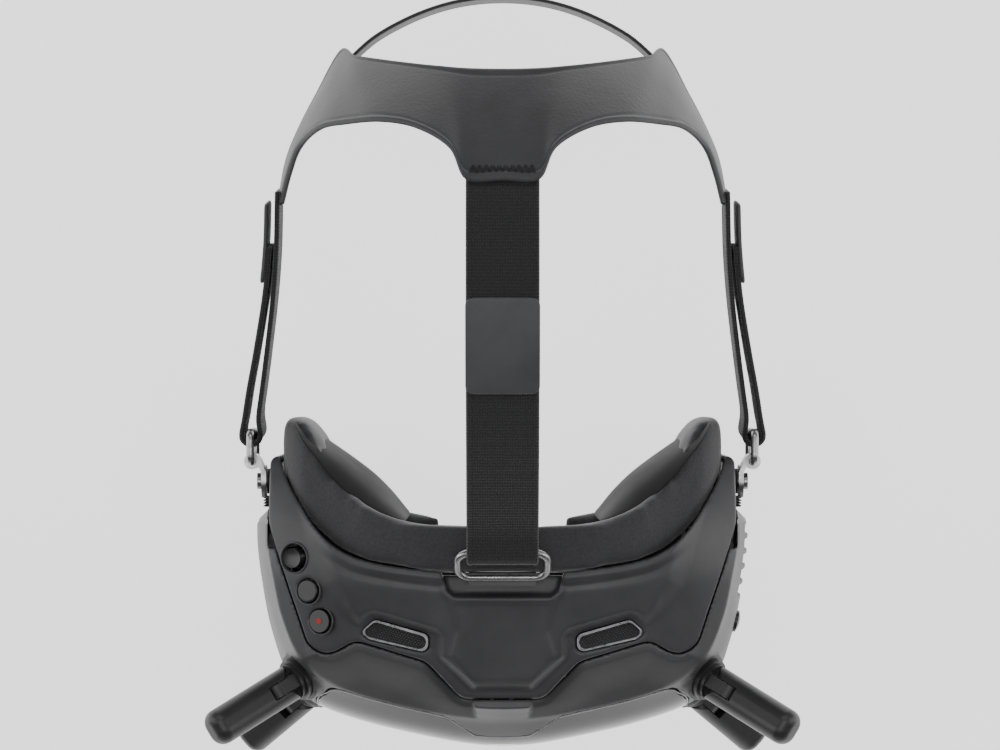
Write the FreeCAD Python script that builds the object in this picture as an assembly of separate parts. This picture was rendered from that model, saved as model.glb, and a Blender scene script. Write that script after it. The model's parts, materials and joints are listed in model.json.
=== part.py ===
"""Video goggles for flying model aircraft: a head-worn display with a three-point elastic headband.

Frame, in millimetres: +Z up, -Y the way the wearer looks, +X the wearer's left.
The origin is where the forehead meets the foam, at eye level. The pieces are drawn from the housing's
underside and the lens plane, and moved to that origin when they are written.
"""
import FreeCAD, Part
import math
import os
from FreeCAD import Vector

# ---- driving dimensions -------------------------------------------------------------------------
ORIGIN = Vector(0, 29.0, 55.0)   # the frame's origin, in the drawing's coordinates
HEIGHT = 100.0               # housing, underside to brow
MID_Z = HEIGHT / 2           # parting plane and widest level of the housing
HALF_WIDTH = 90.5            # front shell at its widest level
FRONT_Y = -53.8              # foremost point of the front shell
SHELL_REAR_Y = 29.0          # where the front shell's sides end
WING_X = 84.3                # outer face of the rear wings that carry the strap studs
WING_REAR_Y = 53.0
WALL = 2.4                   # moulded wall of the housing
GAP = 0.35                   # parting gap between neighbouring mouldings
FACE_DEPTH = 15.0            # how far the foam's contact face reaches inwards

STUD_Y, STUD_Z = 43.6, 62.0  # axis of the two side studs, along X
RING_WIRE_R = 1.4            # wire of the three strap rings
WEB_WIDTH = 25.4             # all webbing
WEB_THICK = 1.6
FOLD_ROOM = 1.2              # play of a ring's bar inside the webbing's fold

TOP_RING_Y, TOP_RING_Z = 10.6, 104.6   # pivot bar of the top ring, along X
TOP_RING_PITCH = 12.5                  # between the two bars of the top ring
TOP_RING_RISE = math.radians(44)
TOP_RING_HALF = 17.35
RECESS_Z = 96.6                        # floor of the recess that the top ring sits over

LENS_X, LENS_Z = 32.0, 52.0  # middle of the adjustment range, 64 mm between the pupils
LENS_TRAVEL = 3.0
BARREL_R = 22.5

# Half of the front shell's outline at its widest level, from the middle of the front round to the left rear.
EQUATOR = [(-9.0, -53.8), (-30.0, -50.2), (-45.0, -46.8), (-60.0, -42.3), (-71.0, -37.2), (-78.5, -29.5),
           (-82.5, -20.0), (-86.0, -8.0), (-88.6, 6.0), (-90.2, 18.0), (-90.5, 28.0)]
# Level, half width and foremost point of each horizontal section of the front shell.
SHELL_LEVELS = [(1.5, 72.0, -33.0), (12.0, 80.5, -41.5), (30.0, 88.0, -50.5), (50.0, 90.5, -53.8),
                (68.0, 88.5, -49.8), (80.0, 86.0, -42.0), (90.0, 83.6, -37.0), (97.0, 81.5, -31.5)]
# Three points, at positive x, of the sloping shoulder between a cover's front edge and the plate.
SHOULDER = (Vector(27.3, -21.0, 91.8), Vector(52.5, -13.4, 94.0), Vector(39.5, -37.3, 80.0))
# Half of the line where a cover meets the front shell: x, y and corner radius.
SEAM = [(-WING_X, WING_REAR_Y, 3.0), (-WING_X, 29.0, 20.0), (-67.6, -21.0, 8.0), (-52.5, -12.4, 7.0),
        (-27.3, -20.2, 8.0), (-14.6, -33.7, 6.0)]
# Half of the rim that the face foam seats on, in plan, from the temple to the middle.
RIM = [(-80.6, 53.0), (-78.1, 45.7), (-72.0, 35.0), (-65.0, 25.5), (-54.3, 18.1), (-43.6, 15.1),
       (-29.4, 13.0), (-14.0, 11.6), (0.0, 11.2)]
# Half of the foam's rear edge, in plan.
FACE_EDGE = [(-76.0, 67.0), (-72.6, 67.8), (-68.0, 62.0), (-62.0, 49.5), (-54.0, 39.6), (-43.0, 33.0),
             (-26.0, 29.6), (0.0, 29.0)]

# Antenna name, base point on the shell, direction of the blade.
ANTENNAS = {
    "upper_right": (Vector(-74.2, -27.6, 74.0), Vector(-34, -20, 27)),
    "upper_left": (Vector(74.2, -27.6, 74.0), Vector(34, -20, 27)),
    "lower_right": (Vector(-71.5, -34.5, 27.0), Vector(-25, -22, -24)),
    "lower_left": (Vector(71.5, -34.5, 27.0), Vector(25, -22, -24)),
}
ANTENNA_BORE_R, BOSS_R = 4.2, 9.4
ANTENNA_FOLD_AT = 9.8       # from the collar's seat to the fold hinge
ANTENNA_LENGTH = 41.5
ANTENNA_HALF_WIDE, ANTENNA_HALF_THICK = 6.6, 5.8
TONGUE_R = 5.55               # the tongue fills the blade's slot, flush with the blade

# Wearer's right: the three controls on the brow. Centre in plan, cap radius.
CONTROL_TILT = math.radians(28)
FIVE_WAY = (-74.6, 16.9, 3.5)
BACK_BUTTON = (-69.4, 5.2, 4.0)
RECORD_BUTTON = (-65.0, -5.6, 4.0)
BUTTON_GAP, FIVE_WAY_GAP = 0.4, 1.4    # round each cap; the five-way cap also tilts
GIMBAL_DEPTH = 5.7                     # of the five-way button's tilt axes below its cap's foot
DOT_R = 1.1                            # red dot on the record button

LINK_BUTTON, LINK_BUTTON_R = Vector(85.6, -8.0, 56.0), 4.0
LINK_DIRECTION = Vector(0.974, -0.228, 0)
SOCKETS = {"power_jack": (-4.0, 38.0, 2.8), "audio_jack": (14.5, 38.0, 1.8)}   # y, z, bore radius
SOCKET_MOUTH_X, SOCKET_DEPTH = -81.0, 12.0
OUTLET_SLOTS = (2.0, 7.6, 13.2, 18.8, 24.4)
SCREWS = ((-58.0, -6.0), (58.0, -6.0), (-67.0, 16.0), (67.0, 16.0))
SCREW_HEAD_R, SCREW_SHANK_R = 2.0, 1.0

# Half of the yoke, from the arm's end to the middle: lower edge and upper edge of each station.
YOKE = [((-80.5, 144.0, 58.0), (-78.4, 144.0, 84.0)), ((-77.8, 160.0, 58.0), (-75.6, 154.5, 85.0)),
        ((-73.4, 171.5, 58.0), (-71.8, 163.5, 89.5)), ((-66.6, 185.0, 58.5), (-64.2, 169.0, 105.0)),
        ((-57.8, 200.6, 62.0), (-54.7, 170.0, 117.0)), ((-51.6, 196.4, 85.0), (-42.6, 170.0, 130.0)),
        ((-40.0, 193.2, 101.5), (-30.0, 167.2, 139.5)), ((-25.0, 190.6, 114.0), (-18.5, 160.0, 147.0)),
        ((-12.5, 189.4, 120.0), (-12.7, 149.0, 150.5)), ((0.0, 189.0, 122.0), (0.0, 148.6, 150.7))]
YOKE_THICK = 1.8
REAR_BAND = [(-54.6, 196.6), (-45.0, 205.6), (-30.3, 213.2), (-15.6, 217.7), (0.0, 219.2)]
# Middle line of the top strap in the Y-Z plane, from the ring back to the yoke.
TOP_SPINE = [(22.5, 114.2), (40.0, 126.5), (62.0, 139.0), (88.0, 148.5), (115.0, 153.0), (149.5, 149.0)]
TAB_FRONT_Y, TAB_REAR_Y = 75.5, 109.0
# Middle lines of the left side strap's two layers in plan, from the ring back.
SIDE_BAR_X, SIDE_BAR_Y, SIDE_RING_PITCH = -91.3, 61.6, 10.7
SIDE_INNER = [(-88.3, 62.2), (-87.6, 72.0), (-85.6, 90.0), (-83.2, 110.0), (-81.8, 128.0), (-81.2, 150.0)]
SIDE_OUTER = [(-94.3, 62.2), (-92.9, 72.0), (-89.4, 92.0), (-86.1, 112.0), (-84.2, 130.0), (-83.6, 151.0)]
SIDE_RISE = math.radians(5.8)
SIDE_TAB_FRONT_Y = 116.0

os.makedirs("parts", exist_ok=True)
X_AXIS, Y_AXIS, Z_AXIS = Vector(1, 0, 0), Vector(0, 1, 0), Vector(0, 0, 1)
SIDES = (("right", 1), ("left", -1))     # the wearer's right is modelled, and mirrored for the left


# ---- helpers ------------------------------------------------------------------------------------
def save(name, *solids):
    shape = solids[0] if len(solids) == 1 else Part.makeCompound(solids)
    shape = shape.translated(-ORIGIN)
    shape.exportStep(f"parts/{name}.step")


def box(x0, x1, y0, y1, z0, z1):
    return Part.makeBox(x1 - x0, y1 - y0, z1 - z0, Vector(x0, y0, z0))


def rod(start, direction, radius, length):
    return Part.makeCylinder(radius, length, start, direction)


def mirror(shape, side=-1):
    """The shape itself for side 1, its image across the Y-Z plane for side -1."""
    return shape if side > 0 else shape.mirror(Vector(0, 0, 0), X_AXIS)


def flip_z(shape):
    return shape.mirror(Vector(0, 0, MID_Z), Z_AXIS)


def mirrored(points):
    """A half outline with x below zero, completed by its image."""
    image = [(-p[0], *p[1:]) for p in reversed(points) if abs(p[0]) > 1e-6]
    return list(points) + image


def spline(points):
    curve = Part.BSplineCurve()
    curve.interpolate([Vector(*p) for p in points])
    return curve.toShape()


def line(a, b):
    return Part.makeLine(Vector(*a), Vector(*b))


def rounded_wire(corners, place):
    """Closed wire through corners (u, v, radius), with an arc at each; place turns (u, v) into a point."""
    tangents = []
    for i, (u, v, radius) in enumerate(corners):
        here = Vector(u, v, 0)
        before = Vector(*corners[i - 1][:2], 0) - here
        after = Vector(*corners[(i + 1) % len(corners)][:2], 0) - here
        reach = radius / math.tan(before.getAngle(after) / 2)
        start = here + before.normalize() * reach
        end = here + after.normalize() * reach
        inwards = before + after
        middle = here + inwards.normalize() * (math.hypot(reach, radius) - radius)
        tangents.append([place(p.x, p.y) for p in (start, middle, end)])
    edges = []
    for i, (start, middle, end) in enumerate(tangents):
        edges.append(Part.Arc(start, middle, end).toShape())
        following = tangents[(i + 1) % len(tangents)][0]
        if end.distanceToPoint(following) > 1e-3:
            edges.append(Part.makeLine(end, following))
    return Part.Wire(edges)


def plan_prism(corners, z0, z1):
    wire = rounded_wire(corners, lambda u, v: Vector(u, v, z0))
    return Part.Face(wire).extrude(Vector(0, 0, z1 - z0))


def front_prism(corners, y0, y1):
    """A prism along Y from an outline in X and Z."""
    wire = rounded_wire(corners, lambda u, v: Vector(u, y0, v))
    return Part.Face(wire).extrude(Vector(0, y1 - y0, 0))


def behind(edge, rear_y, z0, z1):
    """Everything behind a plan curve given by its half, back to rear_y."""
    points = mirrored(edge)
    left, right = points[0], points[-1]
    wire = Part.Wire([spline([(x, y, z0) for x, y in points]), line((*right, z0), (right[0], rear_y, z0)),
                      line((right[0], rear_y, z0), (left[0], rear_y, z0)),
                      line((left[0], rear_y, z0), (*left, z0))])
    return Part.Face(wire).extrude(Vector(0, 0, z1 - z0))


def ribbon(points, half_thick, place, width):
    """A strip of webbing: a spline through points (u, v), thickened in its plane and extruded by width."""
    curve = Part.BSplineCurve()
    curve.interpolate([Vector(u, v, 0) for u, v in points])
    steps = 4 * len(points)
    first, last = curve.FirstParameter, curve.LastParameter
    sides = ([], [])
    for i in range(steps + 1):
        at = first + (last - first) * i / steps
        along = Vector(*curve.tangent(at)[0])
        normal = Vector(-along.y, along.x, 0) * half_thick
        sides[0].append(curve.value(at) + normal)
        sides[1].append(curve.value(at) - normal)
    upper, lower = ([place(p.x, p.y) for p in side] for side in sides)
    wire = Part.Wire([spline(upper), Part.makeLine(upper[-1], lower[-1]), spline(lower[::-1]),
                      Part.makeLine(lower[0], upper[0])])
    return Part.Face(wire).extrude(width)


def in_plan(u, v):
    return Vector(u, v, 0)


def in_profile(u, v):
    return Vector(0, u, v)


def local(shape, origin, direction, across=None):
    """Moves a shape made along +Z so that it starts at origin and runs along direction."""
    z = Vector(direction).normalize()
    x = Vector(across or Y_AXIS.cross(z)).normalize()
    y = z.cross(x)
    moved = shape.copy()
    moved.Placement = FreeCAD.Placement(FreeCAD.Matrix(x.x, y.x, z.x, origin.x, x.y, y.y, z.y, origin.y,
                                                       x.z, y.z, z.z, origin.z, 0, 0, 0, 1)) * moved.Placement
    return moved


# ---- the housing's master surfaces --------------------------------------------------------------
def brow_z(x, y):
    """Height of the covers' outer surface: it falls forwards, down the sides and towards the temples."""
    return (HEIGHT - 0.2 * max(0.0, 11.0 - y) - 0.0092 * max(0.0, abs(x) - 45.0) ** 2
            - 0.012 * max(0.0, y - 20.0) ** 2)


def brow_solid(inset, height):
    """Solid from the brow surface, lowered by inset, up by height, or down when that is negative."""
    xs = range(-110, 111, 10)
    ys = range(-70, 71, 10)
    surface = Part.BSplineSurface()
    surface.interpolate([[Vector(x, y, brow_z(x, y) - inset) for y in ys] for x in xs])
    return surface.toShape().extrude(Vector(0, 0, height))


def above_brow(inset=0.0):
    return brow_solid(inset, 90)


def below_brow(inset):
    return brow_solid(inset, -90)


def shell_solid(inset):
    """The front shell's outer form, or its inside when inset by the wall."""
    sections = []
    for z, half_width, front in SHELL_LEVELS:
        wide = (half_width - inset) / HALF_WIDTH
        deep = (SHELL_REAR_Y - front - inset) / (SHELL_REAR_Y - FRONT_Y)
        half = [(x * wide, SHELL_REAR_Y + (y - SHELL_REAR_Y) * deep, z) for x, y in EQUATOR]
        arc = mirrored(half[::-1])
        left, right = arc[0], arc[-1]
        step = WING_X * wide * 0.99
        rear = SHELL_REAR_Y + 6.5
        sections.append(Part.Wire([spline(arc), line(right, (step, rear, z)),
                                   line((step, rear, z), (-step, rear, z)), line((-step, rear, z), left)]))
    return Part.makeLoft(sections, True, False)


def seam_prism(grow, z0, z1):
    """The plan area inside the seam, grown or shrunk by an offset."""
    wire = rounded_wire(mirrored(SEAM), lambda u, v: Vector(u, v, z0))
    if grow:
        wire = wire.makeOffset2D(grow)
    return Part.Face(wire).extrude(Vector(0, 0, z1 - z0))


def shoulder_room(depth):
    """What the two sloping shoulders beside the nose take away, lowered by depth."""
    lowered = [p - Vector(0, 0, depth) for p in SHOULDER]
    normal = (lowered[1] - lowered[0]).cross(lowered[2] - lowered[0])
    if normal.z < 0:
        normal = normal * -1
    above = local(box(-150, 150, -150, 150, 0, 80), lowered[0], normal)
    flank = 0.7 * depth
    plan = [(11.3 - flank, -32.5, 0.8), (7.6 - flank, -46.0, 2.0), (6.8 - flank, -70.0, 1.0),
            (120.0, -70.0, 1.0), (120.0, 60.0, 1.0), (11.3 - flank, 60.0, 1.0)]
    side = above.common(plan_prism(plan, 40, 140))
    return side.fuse(mirror(side))


SKY = above_brow()
CEILING = above_brow(WALL)
FACE_SIDE = behind(RIM, 90.0, -10, 130)


def cover_blank():
    """A cover's shell before its openings: roof, low walls inside the front shell, and both wings."""
    outer = seam_prism(0, MID_Z + 0.1, 125).cut(SKY)
    inner = seam_prism(-WALL, MID_Z - 5, 125).cut(CEILING)
    blank = outer.cut(inner)
    hidden_walls = box(-90, 90, -60, 24, MID_Z - 1, 77)
    studs = rod(Vector(-90, STUD_Y, STUD_Z), X_AXIS, 2.05, 180)
    return blank.cut(hidden_walls).cut(FACE_SIDE).cut(studs)


# ---- fixed mouldings ----------------------------------------------------------------------------
def grille_corners(side, grow=0.0):
    """Outline of an air intake in plan: blunt towards the middle, pointed outwards."""
    corners = [(-50.8 - grow, -9.4, 1.6), (-45.6, -4.9 + grow, 2.4), (-26.6 + grow, -10.4 + grow, 2.4),
               (-26.6 + grow, -16.9 - grow, 2.4), (-47.6, -12.0 - grow, 2.4)]
    return [(x * side, y, r) for x, y, r in corners][::side]


def control_axis(x, y, sink=0.0):
    """Point on the brow under a control and the direction in which its cap leaves the housing."""
    normal = Vector(-math.sin(CONTROL_TILT), 0, math.cos(CONTROL_TILT))
    return Vector(x, y, brow_z(x, y)) - normal * sink, normal


def top_cover():
    cover = cover_blank().fuse(box(-24, 24, 2.0, 10.8, 94.0, 97.7))
    for control, gap in ((FIVE_WAY, FIVE_WAY_GAP), (BACK_BUTTON, BUTTON_GAP), (RECORD_BUTTON, BUTTON_GAP)):
        at, normal = control_axis(*control[:2], 6)
        cover = cover.cut(rod(at, normal, control[2] + gap, 12))
    for side in (1, -1):
        cover = cover.cut(plan_prism(grille_corners(side, 0.3), 80, 110))
    recess = plan_prism([(-19, 3.4, 4), (19, 3.4, 4), (23, 16, 1), (-23, 16, 1)], RECESS_Z, 112)
    return cover.cut(recess)


def slider_slots():
    return [box(side * LENS_X - 6, side * LENS_X + 6, -5, 1, -2, 8) for side in (1, -1)]


def nose_room(grow=0.0):
    """The space for the wearer's nose, from below."""
    foot = Part.Wire([Part.Edge(Part.Ellipse(Vector(0, 26, -5), 27 + grow, 18 + grow))])
    top = Part.Wire([Part.Edge(Part.Ellipse(Vector(0, 26, 42), 18 + grow, 8 + grow))])
    return Part.makeLoft([foot, top], True)


def bottom_cover():
    cover = flip_z(cover_blank()).cut(nose_room())
    for slot in slider_slots():
        cover = cover.cut(slot)
    for x, y in SCREWS:
        low = Vector(x, y, HEIGHT - brow_z(x, y))
        cover = cover.cut(rod(low - Z_AXIS * 3, Z_AXIS, SCREW_HEAD_R + 0.1, 4.3))
        cover = cover.cut(rod(low, Z_AXIS, SCREW_SHANK_R + 0.05, 6))
    return cover


def housing_screws():
    """Countersunk hexagon-socket screws that close the underside."""
    screws = []
    for x, y in SCREWS:
        seat = Vector(x, y, HEIGHT - brow_z(x, y) + 1.3)
        screw = rod(seat - Z_AXIS * 1.1, Z_AXIS, SCREW_HEAD_R, 1.1).fuse(rod(seat, Z_AXIS, SCREW_SHANK_R, 5))
        hexagon = [seat + Vector(0.8 * math.cos(i * math.pi / 3), 0.8 * math.sin(i * math.pi / 3), -1.2)
                   for i in range(7)]
        screws.append(screw.cut(Part.Face(Part.makePolygon(hexagon)).extrude(Z_AXIS * 1.0)))
    return screws


FRONT_WINDOW = [(-67.5, 33.0, 8.0), (-67.5, 67.0, 8.0), (-61.0, 80.5, 7.0), (-21.0, 78.5, 5.0),
                (-10.0, 69.0, 4.0), (10.0, 69.0, 4.0), (21.0, 78.5, 5.0), (61.0, 80.5, 7.0), (67.5, 67.0, 8.0),
                (67.5, 33.0, 8.0), (61.0, 25.5, 7.0), (20.0, 24.5, 5.0), (9.0, 32.5, 4.0), (-9.0, 32.5, 4.0),
                (-20.0, 24.5, 5.0), (-61.0, 25.5, 7.0)]
BADGE = [(-8.5, 50.0, 1.5), (-5.0, 61.0, 1.5), (5.0, 61.0, 1.5), (8.5, 50.0, 1.5), (5.0, 39.0, 1.5),
         (-5.0, 39.0, 1.5)]


def shrunk(corners, by, centre_z=MID_Z):
    """An outline in X and Z drawn in towards its middle by about by."""
    reach_x = max(abs(c[0]) for c in corners)
    reach_z = max(abs(c[1] - centre_z) for c in corners)
    return [(x * (1 - by / reach_x), centre_z + (z - centre_z) * (1 - by / reach_z), r) for x, z, r in corners]


def front_parts():
    """Front shell, glossy plate, badge and badge trim, cut from one wall so that they lie flush."""
    shoulders, hollow = shoulder_room(0), shoulder_room(1.4 * WALL)
    form = shell_solid(0).cut(SKY).cut(flip_z(SKY)).cut(shoulders).cut(flip_z(shoulders))
    inside = shell_solid(WALL).cut(CEILING).cut(flip_z(CEILING)).cut(hollow).cut(flip_z(hollow))
    wall = form.cut(inside).cut(seam_prism(GAP, 60, 130)).cut(seam_prism(GAP, -20, 40))
    wall = wall.cut(box(-WING_X - GAP, WING_X + GAP, 20, 60, -5, 110))
    front = wall.cut(front_prism(FRONT_WINDOW, -70, -20))
    plate = wall.common(front_prism(shrunk(FRONT_WINDOW, GAP), -70, -20))
    trim = wall.common(front_prism(shrunk(BADGE, 0.1), -70, -20))
    plate = plate.cut(front_prism(BADGE, -70, -20))
    badge = trim.common(front_prism(shrunk(BADGE, 1.3), -70, -20))
    trim = trim.cut(front_prism(shrunk(BADGE, 1.2), -70, -20))
    for base, direction in ANTENNAS.values():
        unit = Vector(direction).normalize()
        boss = rod(base - unit * 14, unit, BOSS_R, 14).cut(inside)
        front = front.fuse(boss).cut(rod(base, unit, BOSS_R, 30))
        front = front.cut(rod(base - unit * 20, unit, ANTENNA_BORE_R, 30))
        plate = plate.cut(rod(base - unit * 20, unit, BOSS_R + GAP, 50))
    return largest(front), plate, badge, trim


def largest(shape):
    return max(shape.Solids, key=lambda s: s.Volume)


def side_openings(front):
    """The air outlet's slots and the link button's hole on the left, the sockets' mouths on the right."""
    for y in OUTLET_SLOTS:
        front = front.cut(box(70, 100, y, y + 3.6, 42, 68))
    front = front.cut(rod(LINK_BUTTON - LINK_DIRECTION * 6, LINK_DIRECTION, LINK_BUTTON_R + 0.3, 14))
    for y, z, bore in SOCKETS.values():
        front = front.cut(rod(Vector(-78, y, z), -X_AXIS, bore + 1.4, 20))
    return front


def outlet_grille():
    """Curved louvre panel lying inside the outlet's slots."""
    panel = shell_solid(WALL + 0.2).cut(shell_solid(WALL + 1.4)).common(box(78, 100, 0.5, 28.0, 40, 70))
    for i in range(17):
        panel = panel.cut(box(70, 100, 1.6 + i * 1.5, 2.4 + i * 1.5, 43, 67))
    return panel


def socket(y, z, bore):
    block = box(SOCKET_MOUTH_X, SOCKET_MOUTH_X + SOCKET_DEPTH + 2, y - 4.2, y + 4.2, z - 4.2, z + 4.2)
    return block.cut(rod(Vector(SOCKET_MOUTH_X + SOCKET_DEPTH, y, z), -X_AXIS, bore, SOCKET_DEPTH + 1))


def cavity(clear):
    """The room inside the two covers, with a clearance."""
    low = above_brow(WALL + clear)
    return seam_prism(-WALL - clear, -5, 105).cut(low).cut(flip_z(low))


def eye_frame():
    """The mask plate between the face and the optics, with a window for each eyepiece."""
    plate = box(-90, 90, 6.6, 8.4, 0, 100).common(cavity(GAP))
    for side in (1, -1):
        x = side * LENS_X
        reach = BARREL_R + 0.6
        window = rod(Vector(x - LENS_TRAVEL, 0, LENS_Z), Y_AXIS, reach, 20)
        window = window.fuse(rod(Vector(x + LENS_TRAVEL, 0, LENS_Z), Y_AXIS, reach, 20))
        window = window.fuse(box(x - LENS_TRAVEL, x + LENS_TRAVEL, 0, 20, LENS_Z - reach, LENS_Z + reach))
        plate = plate.cut(window)
    at, normal = control_axis(*BACK_BUTTON[:2], 14)
    plate = plate.cut(rod(at, normal, BACK_BUTTON[2] + 1, 20)).cut(box(-25, 25, 5, 10, 93.5, 100))
    plate = plate.cut(box(66, 80, 5, 10, 40, 72))
    return plate.cut(nose_room(0.5))


def face_foam():
    """Foam ring against the face: forehead, temples and cheeks, open over the nose."""
    outline = [(-79.5, 22.0, 20.0), (-79.5, 84.0, 22.0), (-46.0, 103.0, 30.0), (46.0, 103.0, 30.0),
               (79.5, 84.0, 22.0), (79.5, 22.0, 20.0), (48.0, 4.5, 24.0), (-48.0, 4.5, 24.0)]
    opening = [(-79.5 + FACE_DEPTH, 30.0, 14.0), (-79.5 + FACE_DEPTH, 78.0, 16.0), (-40.0, 91.0, 20.0),
               (40.0, 91.0, 20.0), (79.5 - FACE_DEPTH, 78.0, 16.0), (79.5 - FACE_DEPTH, 30.0, 14.0),
               (40.0, 17.0, 18.0), (-40.0, 17.0, 18.0)]
    ring = front_prism(outline, 0, 75).cut(front_prism(opening, -5, 80))
    seat = [(x * 0.995, y + 0.4) for x, y in RIM]
    face = behind(FACE_EDGE, 90.0, -10, 130).fuse(box(-100, 100, 67.8, 95, -10, 130))
    foam = ring.common(behind(seat, 90.0, -10, 130)).cut(face).cut(nose_room(0.5))
    return largest(foam.cut(box(-12.4, 12.4, 5, 12.6, 90, 110)))


def intake(side):
    """Bright bezel and perforated mesh of one air intake."""
    blank = plan_prism(grille_corners(side), 80, 110).cut(above_brow(-0.5))
    bezel = blank.cut(plan_prism(grille_corners(side, -0.75), 70, 120)).cut(below_brow(1.6))
    mesh = plan_prism(grille_corners(side, -0.8), 80, 110).cut(above_brow(1.0)).cut(below_brow(2.0))
    return bezel, mesh


# ---- electronics and optics ---------------------------------------------------------------------
def eyepiece(side):
    """One eyepiece that slides sideways as a unit: barrel, lens, display and slider knob."""
    x = side * LENS_X
    barrel = rod(Vector(x, -20, LENS_Z), Y_AXIS, BARREL_R, 26).cut(
        rod(Vector(x, -21, LENS_Z), Y_AXIS, BARREL_R - 1.8, 30))
    lip = rod(Vector(x, -2, LENS_Z), Y_AXIS, BARREL_R, 2).cut(rod(Vector(x, -3, LENS_Z), Y_AXIS, 18.0, 5))
    barrel = barrel.fuse(lip)
    ball = Part.makeSphere(48, Vector(x, -43, LENS_Z)).common(rod(Vector(x, 0.2, LENS_Z), Y_AXIS, 20.4, 6))
    lens = ball.fuse(rod(Vector(x, 0.1, LENS_Z), Y_AXIS, 20.4, 0.6))
    display = box(x - 24, x + 24, -24.2, -20.2, LENS_Z - 18, LENS_Z + 18)
    stem = box(x - 2, x + 2, -4.4, 0.4, 2.0, LENS_Z - BARREL_R + 0.6)
    knob = box(x - 2.6, x + 2.6, -4.6, 0.6, 0.8, 2.6)
    slider = stem.fuse(knob).cut(rod(Vector(x, -30, LENS_Z), Y_AXIS, BARREL_R + 0.02, 60))
    for i in range(3):
        slider = slider.cut(box(x - 1.9 + i * 1.5, x - 1.1 + i * 1.5, -5, 1, 0, 1.3))
    return {"lens_barrel": barrel, "lens": lens, "display": display, "ipd_slider": slider}


def fan():
    """Blower behind the side outlet: frame with inlet ring, and a rotor on its shaft."""
    centre = Vector(71.0, 10.0, 56.0)
    frame = box(66.5, 75.5, -6, 26, 40.5, 71.5).cut(rod(centre - X_AXIS * 3.4, X_AXIS, 13.4, 12))
    frame = frame.cut(box(70, 80, -3, 23, 43.5, 68.5).common(rod(centre, X_AXIS, 13.4, 12)))
    frame = frame.fuse(rod(centre - X_AXIS * 4.5, X_AXIS, 1.0, 6))
    rotor = rod(centre - X_AXIS * 3.0, X_AXIS, 5.0, 6).cut(rod(centre - X_AXIS * 5, X_AXIS, 1.05, 7))
    blades = 11
    for i in range(blades):
        blade = box(-2.6, 2.6, -0.5, 0.5, 4.6, 12.6)
        blade.rotate(Vector(0, 0, 0), X_AXIS, 360.0 * i / blades)
        rotor = rotor.fuse(blade.translated(centre))
    return frame, rotor


def heat_sink():
    plate = box(-40, 40, -31.5, -30, 34, 70)
    for i in range(12):
        plate = plate.fuse(box(-38.4 + i * 6.8, -37.0 + i * 6.8, -36, -31.4, 36, 68))
    return plate


# ---- controls -----------------------------------------------------------------------------------
def press_button(x, y, radius, domed):
    """A round push button with a stem below the brow."""
    cap = rod(Vector(0, 0, -5), Z_AXIS, radius, 5 + (1.3 if domed else 1.0))
    cap = cap.makeFillet(0.5, [cap.Edges[0]]) if not domed else cap
    at, normal = control_axis(x, y)
    dot = rod(Vector(0, 0, 1.0), Z_AXIS, DOT_R, 0.5)
    if domed:
        cap = cap.cut(dot)
    button = cap.fuse(rod(Vector(0, 0, -9), Z_AXIS, 1.6, 5))
    return local(button, at, normal, Y_AXIS), local(dot, at, normal, Y_AXIS)


def link_button():
    """Domed button on the wearer's left side."""
    cap = rod(Vector(0, 0, -6), Z_AXIS, LINK_BUTTON_R, 9)
    cap = cap.common(Part.makeSphere(9.0, Vector(0, 0, -7.4)))
    return local(cap, LINK_BUTTON, LINK_DIRECTION, Z_AXIS)


def five_way():
    """Five-way button: base, gimbal that tilts one way, stem that tilts the other, cap that presses."""
    x, y, radius = FIVE_WAY
    at, normal = control_axis(x, y)
    base = rod(Vector(0, 0, -10.6), Z_AXIS, radius + 1.8, 3.2)
    base = base.cut(rod(Vector(0, 0, -9.6), Z_AXIS, radius + 0.6, 5))
    gimbal = rod(Vector(0, 0, -GIMBAL_DEPTH - 0.7), Z_AXIS, 3.0, 1.4)
    gimbal = gimbal.cut(rod(Vector(0, 0, -GIMBAL_DEPTH - 2), Z_AXIS, 2.0, 4))
    stem = rod(Vector(0, 0, -GIMBAL_DEPTH - 0.7), Z_AXIS, 1.6, GIMBAL_DEPTH - 1.6)
    cap = rod(Vector(0, 0, -1.6), Z_AXIS, radius, 3.4)
    cap = cap.cut(Part.makeSphere(12, Vector(0, 0, 13.2)))
    return [local(s, at, normal, Y_AXIS) for s in (base, gimbal, stem, cap)]


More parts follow.
